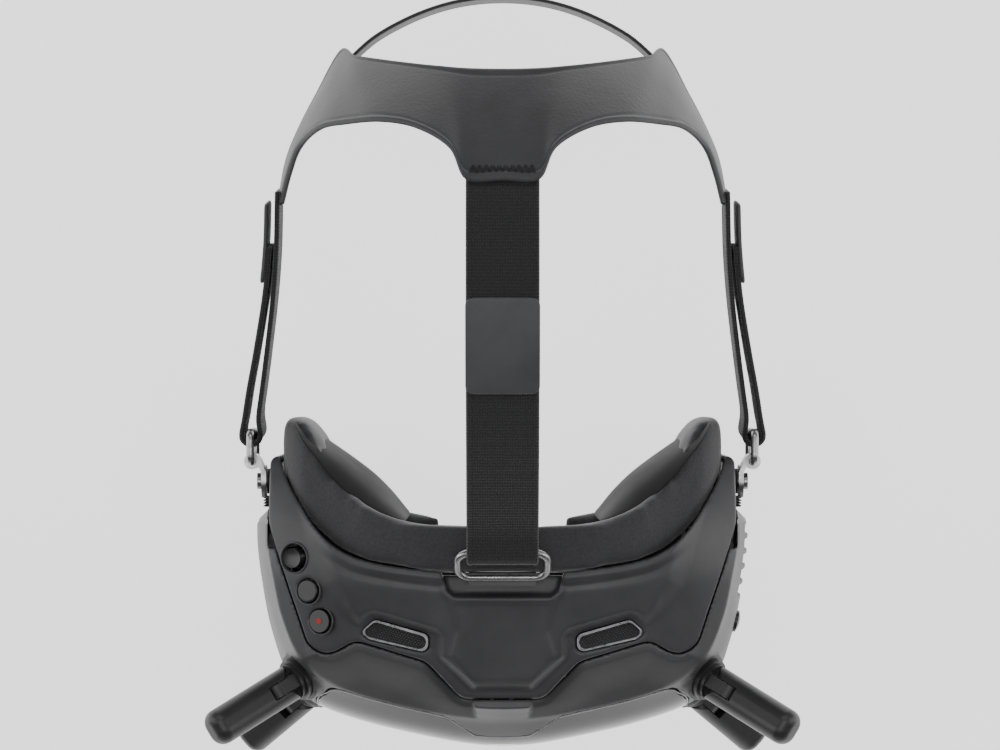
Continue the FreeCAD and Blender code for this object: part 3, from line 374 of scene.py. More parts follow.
def woven(name, colour):
    """Elastic webbing: picks across and ribs along, from the strip's own coordinates in millimetres."""
    material, tree, shader = base_material(name, colour, 0.9, sheen=0.25)
    strip = tree.nodes.new("ShaderNodeUVMap")
    strip.uv_map = "strip"
    waves = []
    for direction, scale in (("X", 0.36), ("Y", 0.27)):
        wave = tree.nodes.new("ShaderNodeTexWave")
        wave.bands_direction = direction
        wave.inputs["Scale"].default_value = scale
        wave.inputs["Distortion"].default_value = 0.6
        wave.inputs["Detail"].default_value = 1.0
        link(tree, strip, "UV", wave, "Vector")
        waves.append(wave)
    weave = tree.nodes.new("ShaderNodeMath")
    weave.operation = "MULTIPLY"
    link(tree, waves[0], "Fac", weave, 0)
    link(tree, waves[1], "Fac", weave, 1)
    first = bump(tree, weave, "Value", 0.00022, shader)
    fuzz = noise_node(tree, 2200.0, 4.0)
    bump(tree, fuzz, "Fac", 0.00008, shader, first)
    tint(tree, weave, "Value", colour, 0.7, 1.25, shader)
    return material


def hide(name, colour):
    """Soft synthetic leather: fine grain of small cells with slow waves."""
    material, tree, shader = base_material(name, colour, 0.55, sheen=0.15)
    coords = tree.nodes.new("ShaderNodeTexCoord")
    cells = tree.nodes.new("ShaderNodeTexVoronoi")
    cells.inputs["Scale"].default_value = 900.0
    cells.feature = "SMOOTH_F1"
    link(tree, coords, "Object", cells, "Vector")
    first = bump(tree, cells, "Distance", 0.00007, shader)
    bump(tree, noise_node(tree, 70.0, 3.0), "Fac", 0.00015, shader, first)
    spread(tree, noise_node(tree, 45.0, 4.0), "Fac", 0.5, 0.6, shader, "Roughness")
    tint(tree, noise_node(tree, 90.0, 5.0), "Fac", colour, 0.88, 1.14, shader)
    return material


def metal(name, colour, rough, scratch=400.0):
    material, tree, shader = base_material(name, colour, rough, 1.0)
    fine = noise_node(tree, scratch, 6.0)
    spread(tree, fine, "Fac", rough * 0.75, rough * 1.35, shader, "Roughness")
    bump(tree, noise_node(tree, 1800.0, 3.0), "Fac", 0.00001, shader)
    tint(tree, noise_node(tree, 120.0), "Fac", colour, 0.92, 1.06, shader)
    return material


def lens_material():
    material, tree, shader = base_material("lens_glass", (0.86, 0.9, 0.95), 0.04, coat=1.0)
    shader.inputs["Transmission Weight"].default_value = 0.9
    shader.inputs["IOR"].default_value = 1.5
    spread(tree, noise_node(tree, 300.0), "Fac", 0.02, 0.06, shader, "Roughness")
    return material


def gloss(name, colour, rough, depth=0.000004, coat=1.0):
    material, tree, shader = base_material(name, colour, rough, coat=coat)
    shader.inputs["Specular IOR Level"].default_value = 0.25 + 0.25 * coat
    spread(tree, noise_node(tree, 90.0, 5.0), "Fac", rough * 0.8, rough * 1.3, shader, "Roughness")
    tint(tree, noise_node(tree, 40.0), "Fac", colour, 0.93, 1.08, shader)
    bump(tree, noise_node(tree, 220.0, 2.0), "Fac", depth, shader)
    return material


def make_materials():
    return {
        "cover_plastic": moulded("cover_plastic", (0.048, 0.048, 0.051), 0.44),
        "shell_plastic": moulded("shell_plastic", (0.075, 0.075, 0.078), 0.46, 3000.0, 0.00002, 0.3, 0.07),
        "gloss_plate": gloss("gloss_plate", (0.022, 0.018, 0.019), 0.16, coat=0.12),
        "bright_trim": metal("bright_trim", (0.78, 0.78, 0.8), 0.3),
        "inner_plastic": moulded("inner_plastic", (0.016, 0.016, 0.017), 0.6),
        "face_foam": knitted("face_foam", (0.04, 0.04, 0.043)),
        "steel": metal("steel", (0.36, 0.355, 0.36), 0.3),
        "button_plastic": moulded("button_plastic", (0.014, 0.014, 0.015), 0.3, 3500.0, 0.00001),
        "aluminium": metal("aluminium", (0.8, 0.8, 0.82), 0.35),
        "circuit_board": gloss("circuit_board", (0.012, 0.075, 0.03), 0.3),
        "red_mark": moulded("red_mark", (0.3, 0.008, 0.008), 0.5),
        "band_fabric": knitted("band_fabric", (0.014, 0.014, 0.015)),
        "yoke_leather": hide("yoke_leather", (0.032, 0.032, 0.035)),
        "webbing": woven("webbing", (0.020, 0.020, 0.0215)),
        "soft_tab": moulded("soft_tab", (0.056, 0.057, 0.06), 0.55, 1200.0, 0.00004),
        "lens_glass": lens_material(),
        "display_glass": gloss("display_glass", (0.006, 0.006, 0.009), 0.06),
        "antenna_plastic": moulded("antenna_plastic", (0.020, 0.020, 0.021), 0.4, 3200.0, 0.00002),
        # far darker than the foam: painted shade on the pad's inner wall
        "foam_painted_shade": moulded("foam_painted_shade", (0.008, 0.008, 0.0085), 0.75, 3000.0, 0.00002),
        # lighter than the shell: a painted highlight on the window rim's chamfer
        "painted_rim_highlight": moulded("painted_rim_highlight", (0.3, 0.3, 0.31), 0.25, 3000.0, 0.00001),
        "wire_mesh": metal("wire_mesh", (0.11, 0.11, 0.115), 0.4),
        "thread": moulded("thread", (0.018, 0.018, 0.019), 0.8, 4000.0, 0.00005),
    }


def dress(piece, body, slot, material=None):
    """Gives a piece its body and the material of its record slot, or the one named."""
    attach(piece, body)
    piece.data.materials.clear()
    piece.data.materials.append(materials[material or slot])
    return piece


def dress_cad_nodes():
    """Gives every CAD node the material that its record slot names."""
    slots = {s["node"]: s["material_slot"] for s in frame["record"]["subparts"]}
    for name, node in frame["nodes"].items():
        node.data.materials.clear()
        node.data.materials.append(materials[slots[name]])


# ---- webbing ------------------------------------------------------------------------------------
def webbing_section():
    """Half outline of a webbing's cross-section: across, and out of the face, with raised selvedges."""
    section = []
    columns = 34
    for i in range(columns + 1):
        across = -WEB_HALF_WIDTH + 2 * WEB_HALF_WIDTH * i / columns
        edge = WEB_HALF_WIDTH - abs(across)
        thick = WEB_HALF_THICK * math.sqrt(max(0.0, min(1.0, edge / 0.7)) + 0.02)
        selvedge = 0.12 if 0.5 < edge < 2.1 else -0.1 if 2.1 <= edge < 2.6 else 0.0
        section.append((across, thick + selvedge))
    return section


def strip(name, path, across, section, pitch=0.9, rib=0.045, turn=None):
    """Webbing along a path of points, with its width along one direction and fine ribs across it."""
    path = curve_points(path, pitch / 3)
    along = directions(path)
    points = []
    across = np.array(across, float)
    for i, (centre, direction) in enumerate(zip(path, along)):
        out = np.cross(direction, across)
        out /= np.linalg.norm(out)
        swell = rib * math.cos(2 * math.pi * i / 3)
        ring = [centre + across * a + out * (t + swell) for a, t in section]
        ring += [centre + across * a - out * (t + swell) for a, t in section[::-1]]
        points += ring
    columns = 2 * len(section)
    piece = add_mesh(name, points, grid_faces(len(path), columns))
    if turn is not None:
        piece.data.transform(turn)
    add_strip_coordinates(piece, columns, section)
    return piece


def add_strip_coordinates(piece, columns, section):
    """Coordinates in millimetres, across and along the strip, for the weave."""
    layer = piece.data.uv_layers.new(name="strip")
    widths = [a for a, _ in section] + [a for a, _ in section[::-1]]
    indices = np.empty(len(piece.data.loops), dtype=np.int64)
    piece.data.loops.foreach_get("vertex_index", indices)
    across = np.array(widths)[indices % columns]
    along = (indices // columns) * 0.3
    layer.data.foreach_set("uv", np.stack([across, along], axis=1).ravel())


def folded_path(inner, outer, bar, plane):
    """Path in, round a ring's bar and back out: plane turns (u, v) into a point."""
    start, back = np.array(inner[0]), np.array(outer[0])
    middle = (start + back) / 2 - bar
    toward = math.atan2(middle[1], middle[0])
    arc = []
    for k in range(-2, 3):
        angle = toward + math.pi + math.radians(46) * k
        arc.append((bar[0] + FOLD_R * math.cos(angle), bar[1] + FOLD_R * math.sin(angle)))
    if np.linalg.norm(np.array(arc[0]) - start) > np.linalg.norm(np.array(arc[-1]) - start):
        arc = arc[::-1]
    return [plane(*p) for p in list(inner)[::-1] + arc + list(outer)]


def offset_path(points, by):
    """Points moved sideways in their own plane, to the left of their direction."""
    line = np.array(points, float)
    along = directions(line)
    return [tuple(p + np.array((-a[1], a[0])) * by) for p, a in zip(line, along)]


def make_top_strap():
    section = webbing_section()
    lift = WEB_HALF_THICK + 0.08
    lower = offset_path(TOP_SPINE, -lift)
    upper = [p for p in offset_path(TOP_SPINE, lift) if p[0] < TAB_REAR_Y - 10]
    path = folded_path(lower, upper, np.array(TOP_BAR.yz), lambda u, v: (0, u, v))
    strap = strip("top_strap_webbing", path, (1, 0, 0), section)
    dress(strap, "top_strap", "webbing")
    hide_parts("top_strap")
    dense = curve_points(offset_path(TOP_SPINE, TOP_TAB_LIFT), 1.0)
    route = [(0, y, z) for y, z in dense if TAB_FRONT_Y < y < TAB_REAR_Y]
    tab = soft_tab("top_strap_end", route, (1, 0, 0), None)
    dress(tab, "top_strap", "soft_tab")
    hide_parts("top_strap_tab")


def soft_tab(name, route, across, turn):
    """Moulded end tab: a flat plate with round corners and a rolled rim."""
    half_width, half_thick, corner = 12.9, 0.75, 3.0
    route, across = np.array(route, float), np.array(across, float)
    along = directions(route)
    reach = distances(route)
    total = reach[-1]
    rows = np.unique(np.concatenate((np.linspace(0, corner, 9), np.linspace(corner, total - corner, 30),
                                     np.linspace(total - corner, total, 9))))
    columns = 20
    points = []
    for s in rows:
        centre = np.array([np.interp(s, reach, route[:, k]) for k in range(3)])
        direction = np.array([np.interp(s, reach, along[:, k]) for k in range(3)])
        out = np.cross(direction, across)
        inset = min(s, total - s)
        wide = half_width
        thick = half_thick
        if inset < corner:
            wide -= corner - math.sqrt(max(0.0, corner ** 2 - (corner - inset) ** 2))
            thick *= math.sqrt(min(1.0, 0.12 + inset))
        for j in range(columns):
            angle = 2 * math.pi * j / columns
            u = math.copysign(abs(math.cos(angle)) ** 0.22, math.cos(angle)) * wide
            v = math.copysign(abs(math.sin(angle)) ** 0.35, math.sin(angle)) * thick
            points.append(centre + across * u + out * v)
    piece = add_mesh(name, points, grid_faces(len(rows), columns))
    if turn is not None:
        piece.data.transform(turn)
    round_off(piece)
    return piece


def side_turn():
    """The side straps rise towards the back of the head."""
    bar = place(SIDE_BAR)
    return Matrix.Translation(bar) @ Matrix.Rotation(SIDE_RISE, 4, "X") @ Matrix.Translation(-bar)


def make_side_straps():
    section = webbing_section()
    bar = np.array(SIDE_BAR.xy)
    path = folded_path(SIDE_INNER, SIDE_OUTER[:-1], bar, lambda u, v: (u, v, STUD_Z))
    strap = strip("side_webbing_right", path, (0, 0, 1), section, turn=side_turn())
    outside = curve_points(SIDE_OUTER, 1.0)
    route = [(x - SIDE_TAB_LIFT, y, STUD_Z) for x, y in outside if y > SIDE_TAB_FRONT_Y]
    tab = soft_tab("side_strap_end_right", route, (0, 0, 1), side_turn())
    for name, side in SIDES:
        for piece, label, slot, node in ((strap, "side_webbing", "webbing", "side_strap"),
                                         (tab, "side_strap_end", "soft_tab", "side_strap_tab")):
            own = piece if side > 0 else mirror_x(piece, f"{label}_{name}")
            dress(own, "headband", slot)
            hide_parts(f"{node}_{name}")


# ---- yoke and rear band -------------------------------------------------------------------------
def yoke_edges():
    """Dense lower and upper edges of the yoke, from the wearer's right to the left."""
    half = [a + b for a, b in YOKE]
    full = half + [(-p[0], p[1], p[2], -p[3], p[4], p[5]) for p in half[-2::-1]]
    return curve_points(full, 1.3)


def yoke_surface():
    """For each station its outer skin, from the lower to the upper edge, and the outward direction."""
    rows = yoke_edges()
    low, high = rows[:, :3], rows[:, 3:]
    middle = (low + high) / 2
    along = np.gradient(middle, axis=0)
    out = np.cross(along, high - low)
    out /= np.linalg.norm(out, axis=1)[:, None]
    out *= np.sign(np.sum(out * (middle - np.array((0, 120, 70))), axis=1))[:, None]
    return low, high, out


def make_yoke():
    low, high, out = yoke_surface()
    steps = 46
    points = []
    for a, b, n in zip(low, high, out):
        height = np.linalg.norm(b - a)
        ring = []
        for face in (1, -1):
            order = range(steps + 1) if face > 0 else range(steps, -1, -1)
            for k in order:
                t = (1 - math.cos(math.pi * k / steps)) / 2
                edge = min(t, 1 - t) * height
                crown = 1.6 * (1 - (2 * t - 1) ** 2) * min(1.0, height / 45)
                rim = math.sqrt(min(1.0, edge / 0.9))
                hem = 0.35 * math.exp(-((edge - 1.7) / 0.9) ** 2) - 0.3 * math.exp(-((edge - 3.6) / 0.45) ** 2)
                thick = (YOKE_THICK / 2 + (hem if face > 0 else 0)) * rim
                ring.append(a + (b - a) * t + n * (YOKE_THICK / 2 + crown + face * thick))
        points += ring
    piece = add_mesh("yoke_pad", points, grid_faces(len(low), 2 * steps + 2))
    dress(piece, "headband", "yoke_leather")
    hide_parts("yoke")
    make_yoke_stitches(low, high, out)


def add_thread(points, faces, start, end, normal, radius):
    """One stitch: an arched round thread from start to end."""
    along = end - start
    direction = along / np.linalg.norm(along)
    side = np.cross(direction, normal)
    side /= np.linalg.norm(side)
    first = len(points)
    rings, around = 7, 8
    for i in range(rings):
        t = i / (rings - 1)
        taper = radius * (0.35 + 0.65 * math.sin(math.pi * t) ** 0.5)
        centre = start + along * t + normal * (radius * 0.9 * math.sin(math.pi * t))
        for j in range(around):
            angle = 2 * math.pi * j / around
            points.append(centre + (side * math.cos(angle) + normal * math.sin(angle)) * taper)
    for face in grid_faces(rings, around):
        faces.append(tuple(first + v for v in face))


def make_yoke_stitches(low, high, out):
    """The zigzag seam that joins the top strap to the yoke's neck."""
    points, faces = [], []
    neck_low, neck_high, neck_out = low[len(low) // 2], high[len(high) // 2], out[len(out) // 2]
    down = neck_low - neck_high
    down /= np.linalg.norm(down)
    teeth, half = 10, 11.2
    for row in (2.4, 3.4):
        base = neck_high + neck_out * (YOKE_THICK + 0.25) + down * row
        for k in range(2 * teeth):
            x0 = -half + half * k / teeth
            x1 = -half + half * (k + 1) / teeth
            d0, d1 = (0, 2.6) if k % 2 == 0 else (2.6, 0)
            start = base + np.array((x0, 0, 0)) + down * d0
            end = base + np.array((x1, 0, 0)) + down * d1
            add_thread(points, faces, start, end, neck_out, 0.28)
    seam = add_mesh("yoke_seam", points, faces)
    dress(seam, "headband", "yoke_leather", "thread")


def make_rear_band():
    half = list(REAR_BAND)
    path = [(x, y, 69.5) for x, y in half] + [(-x, y, 69.5) for x, y in half[-2::-1]]
    section = []
    for i in range(25):
        across = -9.5 + 19 * i / 24
        edge = 9.5 - abs(across)
        section.append((across, 0.6 * math.sqrt(min(1.0, edge / 0.6) + 0.02)
                        + 0.12 * math.exp(-((edge - 1.2) / 0.5) ** 2)))
    band = strip("rear_band_strip", path, (0, 0, 1), section, rib=0.0)
    dress(band, "headband", "yoke_leather", "band_fabric")
    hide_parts("rear_band")


# ---- foam ---------------------------------------------------------------------------------------
def inflate(piece, cap):
    """Swells a remeshed pad by cloth simulation, with each point held to within cap of where it was."""
    before = coordinates(piece)
    cloth = piece.modifiers.new("cloth", "CLOTH")
    cloth.settings.use_pressure = True
    cloth.settings.uniform_pressure_force = 4.0
    cloth.settings.effector_weights.gravity = 0.0
    cloth.settings.quality = 4
    for number in range(1, 21):
        bpy.context.scene.frame_set(number)
    apply_modifiers(piece)
    bpy.context.scene.frame_set(1)
    moved = coordinates(piece) - before
    size = np.linalg.norm(moved, axis=1)[:, None]
    set_coordinates(piece, before + moved * np.minimum(1.0, cap / np.maximum(size, 1e-9)))


def make_foam_shade_sheet():
    """A dark sheet of painted shade over the pad's inner face, which slopes from the crease along its top edge in
    to mid height.
    """
    crease = curve_points(SHADE_SHEET_CREASE, 1.0)
    middle = curve_points(SHADE_SHEET_MIDDLE, 1.0)
    stations, levels = 60, 21
    for name, side in SIDES:
        grid = []
        for i in range(stations):
            t = i / (stations - 1)
            top = crease[int(round(t * (len(crease) - 1)))]
            mid = middle[int(round(t * (len(middle) - 1)))]
            for j in range(levels):
                v = 2 * j / (levels - 1) - 1
                share = math.sqrt(max(0.0, 1 - abs(v) ** 2.2))
                x, y = top + (mid - top) * share
                z = SHADE_SHEET_MID_Z + SHADE_SHEET_RISE * v
                grid.append((x * side, y, z))
        count = len(grid)
        back = [(x - 0.3 * side, y - 1.4, z) for x, y, z in grid]
        faces = []
        for i in range(stations - 1):
            for j in range(levels - 1):
                a, b = i * levels + j, (i + 1) * levels + j
                faces.append((a, b, b + 1, a + 1))
                faces.append((count + a, count + a + 1, count + b + 1, count + b))
        rim = ([i * levels for i in range(stations)] + [(stations - 1) * levels + j for j in range(1, levels)]
               + [i * levels + levels - 1 for i in range(stations - 2, -1, -1)] + list(range(levels - 2, 0, -1)))
        for a, b in zip(rim, rim[1:] + rim[:1]):
            faces.append((a, count + a, count + b, b))
        foam_painted_shade = add_mesh(f"foam_shade_sheet_{name}", grid + back, faces)
        round_off(foam_painted_shade)
        dress(foam_painted_shade, "housing", "face_foam", "foam_painted_shade")


def make_foam():
    pad = soft_copy("face_foam", "face_foam_pad", 3.0, 4)
    inflate(pad, FOAM_SWELL)
    round_off(pad)
    dress(pad, "housing", "face_foam")
    make_foam_shade_sheet()


# ---- housing ------------------------------------------------------------------------------------
def rim_relief(x, y):
    """The rounded rim beside the face foam, with a shallow groove along it."""
    wide = np.abs(x)
    rim = np.array(curve_points(list(RIM) + [(-a, b) for a, b in RIM[-2::-1]], 1.0))
    away = np.full(len(x), np.inf)
    for rx, ry in rim:
        away = np.minimum(away, np.hypot(x - rx, y - ry))
    shows = ramp(wide, *RIM_SHOWS[:2]) * (1 - ramp(wide, *RIM_SHOWS[2:]))
    return shows * (0.55 * hump(away, 2.0, 1.5) - 0.45 * hump(away, 5.0, 1.3))


def brow_relief(x, y):
    """How far the top cover's relief stands above the plain brow."""
    wide = np.abs(x)
    from_seam = inside_distance(x, y, rounded(mirrored(SEAM)))
    slope = POCKET_SLOPE + (LANE_SLOPE - POCKET_SLOPE) * ramp(wide, 48.0, 58.0)
    rise = FIELD_RISE * ramp(inside_distance(wide, y, rounded(FIELD)) / slope, 0.0, 1.0)
    rise += PANEL_RISE * ramp(inside_distance(wide, y, rounded(PANEL)), 0.0, PANEL_SLOPE)
    lip = -inside_distance(x, y, rounded(RECESS))
    rise += 0.5 * hump(lip, 1.2, 0.9) * (1 - ramp(y, 5.0, 9.0))
    rise += rim_relief(x, y)
    return rise * ramp(from_seam, 0.4, 3.6)


def chin_relief(x, y):
    """The underside is plainer: only its rim and a soft step in from the seam."""
    from_seam = inside_distance(x, y, rounded(mirrored(SEAM)))
    return rim_relief(x, y) + 0.8 * ramp(from_seam, 1.5, 7.0)


def raise_cover(piece, relief, upper):
    """Raises a cover's outer skin by its relief."""
    points = coordinates(piece)
    x, y = points[:, 0], points[:, 1]
    z = points[:, 2] if upper else HEIGHT - points[:, 2]
    skin = ramp(z - brow_z(x, y), -2.0, -0.7)
    lift = relief(x, y) * skin
    points[:, 2] += lift if upper else -lift
    set_coordinates(piece, points)


def raise_band(piece):
    """Lifts the shell beside the seam into a flatter band with a crease along its far side."""
    points = coordinates(piece)
    x, y = points[:, 0], points[:, 1]
    z = HEIGHT / 2 + np.abs(points[:, 2] - HEIGHT / 2)
    away = -inside_distance(x, y, rounded(mirrored(SEAM)))
    lift = BAND_RISE * np.clip(away / BAND_WIDTH, 0, 1) * (1 - ramp(away, BAND_WIDTH, 15.0))
    lift *= (1 - ramp(np.abs(x), 60.0, 76.0)) * ramp(z, 77.0, 84.0)
    points[:, 2] += np.where(points[:, 2] > HEIGHT / 2, lift, -lift)
    set_coordinates(piece, points)


def blend_bosses(piece):
    """Smooths the shell where the antenna bosses grow out of it, but not round their seats."""
    points = coordinates(piece)
    near = np.zeros(len(points))
    for side in (1, -1):
        for x, y, z in ANTENNA_SEATS:
            away = np.linalg.norm(points - np.array((x * side, y, z)), axis=1)
            near = np.maximum(near, ramp(away, ANTENNA_SEAT_R, ANTENNA_SEAT_R + 2.5)
                              * (1 - ramp(away, BOSS_BLEND_R - 4, BOSS_BLEND_R)))
    group = piece.vertex_groups.new(name="blend")
    for index in np.nonzero(near > 0.02)[0]:
        group.add([int(index)], float(near[index]), "REPLACE")
    smooth = piece.modifiers.new("blend", "SMOOTH")
    smooth.vertex_group = "blend"
    smooth.factor = 0.5
    smooth.iterations = 22
    apply_modifiers(piece)
    piece.vertex_groups.clear()


def make_control_rings():
    """A fine raised ring in the cover round each control."""
    normal = np.array((-math.sin(CONTROL_TILT), 0, math.cos(CONTROL_TILT)))
    along = np.array((math.cos(CONTROL_TILT), 0, math.sin(CONTROL_TILT)))
    for number, (x, y, radius, gap) in enumerate(CONTROLS, 1):
        centre = np.array((x, y, float(brow_z(np.array(x), np.array(y))))) + normal * RING_LIFT
        reach = radius + gap + RING_CLEARANCE
        path = [centre + reach * (along * math.cos(a) + np.array((0, 1, 0)) * math.sin(a))
                for a in np.linspace(0, 2 * math.pi, 64, endpoint=False)]
        ring = tube(f"control_ring_{number}", path, RING_WIRE_R, closed=True)
        dress(ring, "housing", "cover_plastic")


def make_side_ribs():
    """A short ribbed grip on each wing, behind the end of the front shell."""
    for name, side in SIDES:
        points, faces = [], []
        for rib in range(RIBS):
            add_rib(points, faces, RIB_FRONT_Y + rib * RIB_PITCH, RIB_WIDTH)
        ribs = add_mesh(f"wing_ribs_{name}", [(x * side, y, z) for x, y, z in points], faces)
        dress(ribs, "housing", "inner_plastic")


def make_fairings():
    """Closes the front shell's rear end against each wing with a slanted face."""
    heights, widths = zip(*SHELL_REAR)
    levels = np.linspace(22.0, 83.0, 40)
    for name, side in SIDES:
        points = []
        for z in levels:
            outer = float(np.interp(z, heights, widths)) - 0.35
            close = 1 - 0.7 * abs((z - 52.5) / 30.5) ** 8
            plan = ((84.5, 21.0), (outer - 0.8, 24.0), (outer - 0.1, 28.4), (outer - 0.5, 29.6),
                    (84.9, 29.6 + 4.6 * close), (84.5, 29.6 + 4.4 * close))
            points += [(x * side, y, z) for x, y in plan]
        fairing = add_mesh(f"shell_fairing_{name}", points, grid_faces(len(levels), 6), smooth=False)
        if side < 0:
            fairing.data.flip_normals()
        edges = fairing.modifiers.new("edges", "BEVEL")
        edges.width = 0.0004
        edges.segments = 3
        edges.limit_method = "ANGLE"
        apply_modifiers(fairing)
        dress(fairing, "housing", "shell_plastic")


def add_rib(points, faces, y0, width):
    """One upright rib with round ends and a round back."""
    first = len(points)
    levels, around = 13, 9
    for i in range(levels):
        t = i / (levels - 1)
        end = math.sqrt(max(0.04, 1 - (2 * t - 1) ** 8))
        for j in range(around):
            angle = math.pi * (j / (around - 1) - 0.5)
            depth = RIB_DEPTH * math.cos(angle) ** 0.4 * end if 0 < j < around - 1 else 0.0
            points.append((-RIB_FOOT_X - depth, y0 + width / 2 * math.sin(angle) * end,
                           RIB_FOOT_Z + RIB_HEIGHT * t))
    for face in grid_faces(levels, around):
        faces.append(tuple(first + v for v in face))


def make_housing():
    voxel = 0.7
    brow = soft_copy("top_cover", "brow_cover", voxel, 3)
    raise_cover(brow, brow_relief, True)
    chin = soft_copy("bottom_cover", "chin_cover", voxel, 3)
    raise_cover(chin, chin_relief, False)
    visor = soft_copy("front_shell", "visor_shell", voxel, 3)
    raise_band(visor)
    blend_bosses(visor)
    for piece, slot in ((brow, "cover_plastic"), (chin, "cover_plastic"), (visor, "shell_plastic")):
        dress(piece, "housing", slot)
    make_window_rim_highlight()
    make_intake_wire()
    make_control_rings()
    make_side_ribs()
    make_fairings()


def tube(name, path, radius, around=8, closed=False):
    """A round wire along a path of points."""
    path = np.array(path, float)
    if closed:
        along = np.roll(path, -1, axis=0) - np.roll(path, 1, axis=0)
    else:
        along = np.gradient(path, axis=0)
    points = []
    for centre, direction in zip(path, along):
        direction = unit(direction)
        side = unit(np.cross(direction, (0.31, 0.2, 0.93)))
        out = np.cross(side, direction)
        for j in range(around):
            angle = 2 * math.pi * j / around
            points.append(centre + (side * math.cos(angle) + out * math.sin(angle)) * radius)
    faces = grid_faces(len(path), around)
    if closed:
        last = (len(path) - 1) * around
        faces = faces[:-2] + [(last + j, last + (j + 1) % around, (j + 1) % around, j) for j in range(around)]
    return add_mesh(name, points, faces)


def node_tree(name):
    """Search tree of a CAD node's faces."""
    mesh = frame["nodes"][name].data
    return BVHTree.FromPolygons([v.co for v in mesh.vertices], [tuple(f.vertices) for f in mesh.polygons])


def make_window_rim_highlight():
    """Fine chamfer where the front shell ends round the glossy plate, coloured lighter than the shell as a
    painted highlight of the light it catches.
    """
    trees = [node_tree(name) for name in ("front_shell", "front_plate")]
    corners = [(x, z, r) for x, z, r in FRONT_WINDOW]
    outline = rounded(corners)
    outline = np.concatenate((outline, outline[:1]))
    dense = []
    for a, b in zip(outline, outline[1:]):
        steps = max(1, int(np.linalg.norm(b - a) / 0.8))
        dense += [a + (b - a) * i / steps for i in range(steps)]
    path = []
    for x, z in dense:
        fronts = []
        for reach_x, reach_z in ((1.012, 1.012), (0.985, 0.985)):
            start = place((x * reach_x, -95.0, HEIGHT / 2 + (z - HEIGHT / 2) * reach_z))
            for tree in trees:
                hit = tree.ray_cast(start, Vector((0, 1, 0)))[0]
                if hit is not None:
                    fronts.append(hit.y / MM + ORIGIN.y)
        fronts = [y for y in fronts if y < -20]
        if fronts:
            path.append((x, np.mean(fronts) + 0.12, z))
    path = np.array(path)
    for _ in range(3):
        path = (np.roll(path, 1, axis=0) + path * 2 + np.roll(path, -1, axis=0)) / 4
    rim = tube("window_rim_highlight", path, 0.32, closed=True)
    dress(rim, "housing", "shell_plastic", "painted_rim_highlight")


def make_intake_wire():
    """Woven wire in each intake: rows of small raised knots on the mesh plate."""
    outline = np.array([(x, y) for x, y, _ in GRILLE])
    pitch, knot = 1.05, 0.36
    for name, side in SIDES:
        points, faces = [], []
        for row in range(-6, 14):
            for column in range(-4, 30):
                u = (column + 0.5 * (row % 2)) * pitch
                v = row * pitch * 0.8
                x, y = -50.0 + u * 0.96 + v * 0.15, -13.0 - u * 0.27 + v
                if inside_distance(np.array([x]), np.array([y]), outline)[0] < 1.2:
                    continue
                add_knot(points, faces, (x * side, y, float(brow_z(np.array(x), np.array(y))) - 1.0), knot)
        wire = add_mesh(f"intake_wire_{name}", points, faces)
        dress(wire, "housing", "inner_plastic", "wire_mesh")


def add_knot(points, faces, centre, radius):
    """A low six-sided dome."""
    first = len(points)
    for level, height in ((1.0, -0.1), (0.75, 0.2)):
        for j in range(6):
            angle = math.pi * j / 3
            points.append((centre[0] + radius * level * math.cos(angle),
                           centre[1] + radius * level * math.sin(angle), centre[2] + height))
    points.append((centre[0], centre[1], centre[2] + 0.32))
    for j in range(6):
        k = (j + 1) % 6
        faces.append((first + j, first + k, first + 6 + k, first + 6 + j))
        faces.append((first + 6 + j, first + 6 + k, first + 12))
    faces.append(tuple(first + j for j in range(5, -1, -1)))


# ---- scene --------------------------------------------------------------------------------------
FLOOR_GLOW, SKY_GLOW = 1.3, 0.12
FLOOR_DROP, FLOOR_HALF = 0.12, 3.0       # metres, like the camera's place and the lights'
CAMERA_AT = (-0.0009, 0.0534, 1.385)
LENS_LENGTH, SENSOR_WIDTH = 135.5, 36.0


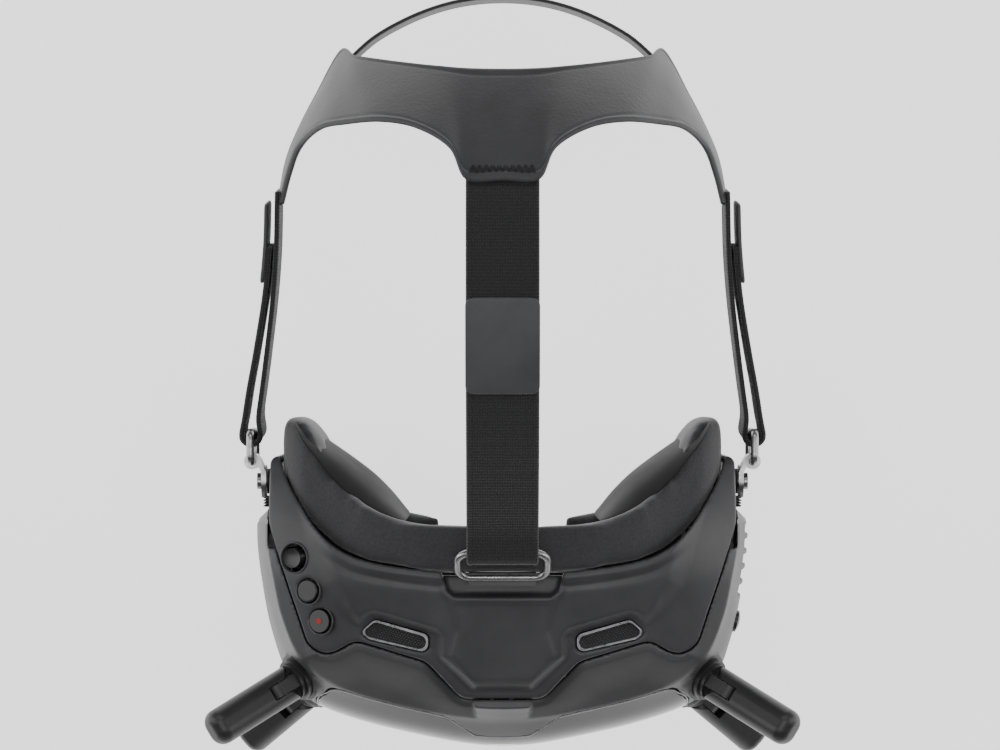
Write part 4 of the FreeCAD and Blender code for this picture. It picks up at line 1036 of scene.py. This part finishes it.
def make_stage():
    floor_z = cad_box[0][2] - FLOOR_DROP
    corners = [(x * FLOOR_HALF, y * FLOOR_HALF, floor_z) for x, y in ((-1, -1), (1, -1), (1, 1), (-1, 1))]
    mesh = bpy.data.meshes.new("floor")
    mesh.from_pydata(corners, [], [(0, 1, 2, 3)])
    floor = bpy.data.objects.new("floor", mesh)
    bpy.context.scene.collection.objects.link(floor)
    material, tree, shader = base_material("floor", (0.9, 0.9, 0.9), 0.9)
    shader.inputs["Emission Color"].default_value = (1, 1, 1, 1)
    shader.inputs["Emission Strength"].default_value = FLOOR_GLOW
    mesh.materials.append(material)


def area_light(name, location, target, size, power):
    data = bpy.data.lights.new(name, "AREA")
    data.shape = "RECTANGLE"
    data.size, data.size_y = size
    data.energy = power
    lamp = bpy.data.objects.new(name, data)
    lamp.location = location
    lamp.rotation_euler = (Vector(target) - Vector(location)).to_track_quat("-Z", "Y").to_euler()
    bpy.context.scene.collection.objects.link(lamp)


def make_lights():
    world = bpy.data.worlds.new("studio")
    bpy.context.scene.world = world
    world.use_nodes = True
    world.node_tree.nodes["Background"].inputs["Color"].default_value = (1, 1, 1, 1)
    world.node_tree.nodes["Background"].inputs["Strength"].default_value = SKY_GLOW
    area_light("softbox_right", (-1.1, 0.1, 0.5), (0, 0.0, 0), (0.7, 1.2), 6)
    area_light("softbox_left", (1.1, 0.1, 0.5), (0, 0.0, 0), (0.7, 1.2), 6)
    area_light("softbox_front", (0, -1.2, 0.3), (0, 0, 0), (1.6, 0.3), 1)
    area_light("softbox_rear", (0, 1.0, 1.2), (0, 0.0, 0), (1.5, 0.6), 6)
    area_light("softbox_top", (0, -0.05, 1.6), (0, 0.0, 0), (1.1, 0.5), 6)


def make_camera():
    data = bpy.data.cameras.new("camera")
    data.lens = LENS_LENGTH
    data.sensor_width = SENSOR_WIDTH
    camera = bpy.data.objects.new("camera", data)
    camera.location = CAMERA_AT
    bpy.context.scene.collection.objects.link(camera)
    bpy.context.scene.camera = camera


make_camera()
make_stage()
make_lights()
materials = make_materials()
dress_cad_nodes()
make_housing()
make_foam()
make_top_strap()
make_side_straps()
make_yoke()
make_rear_band()
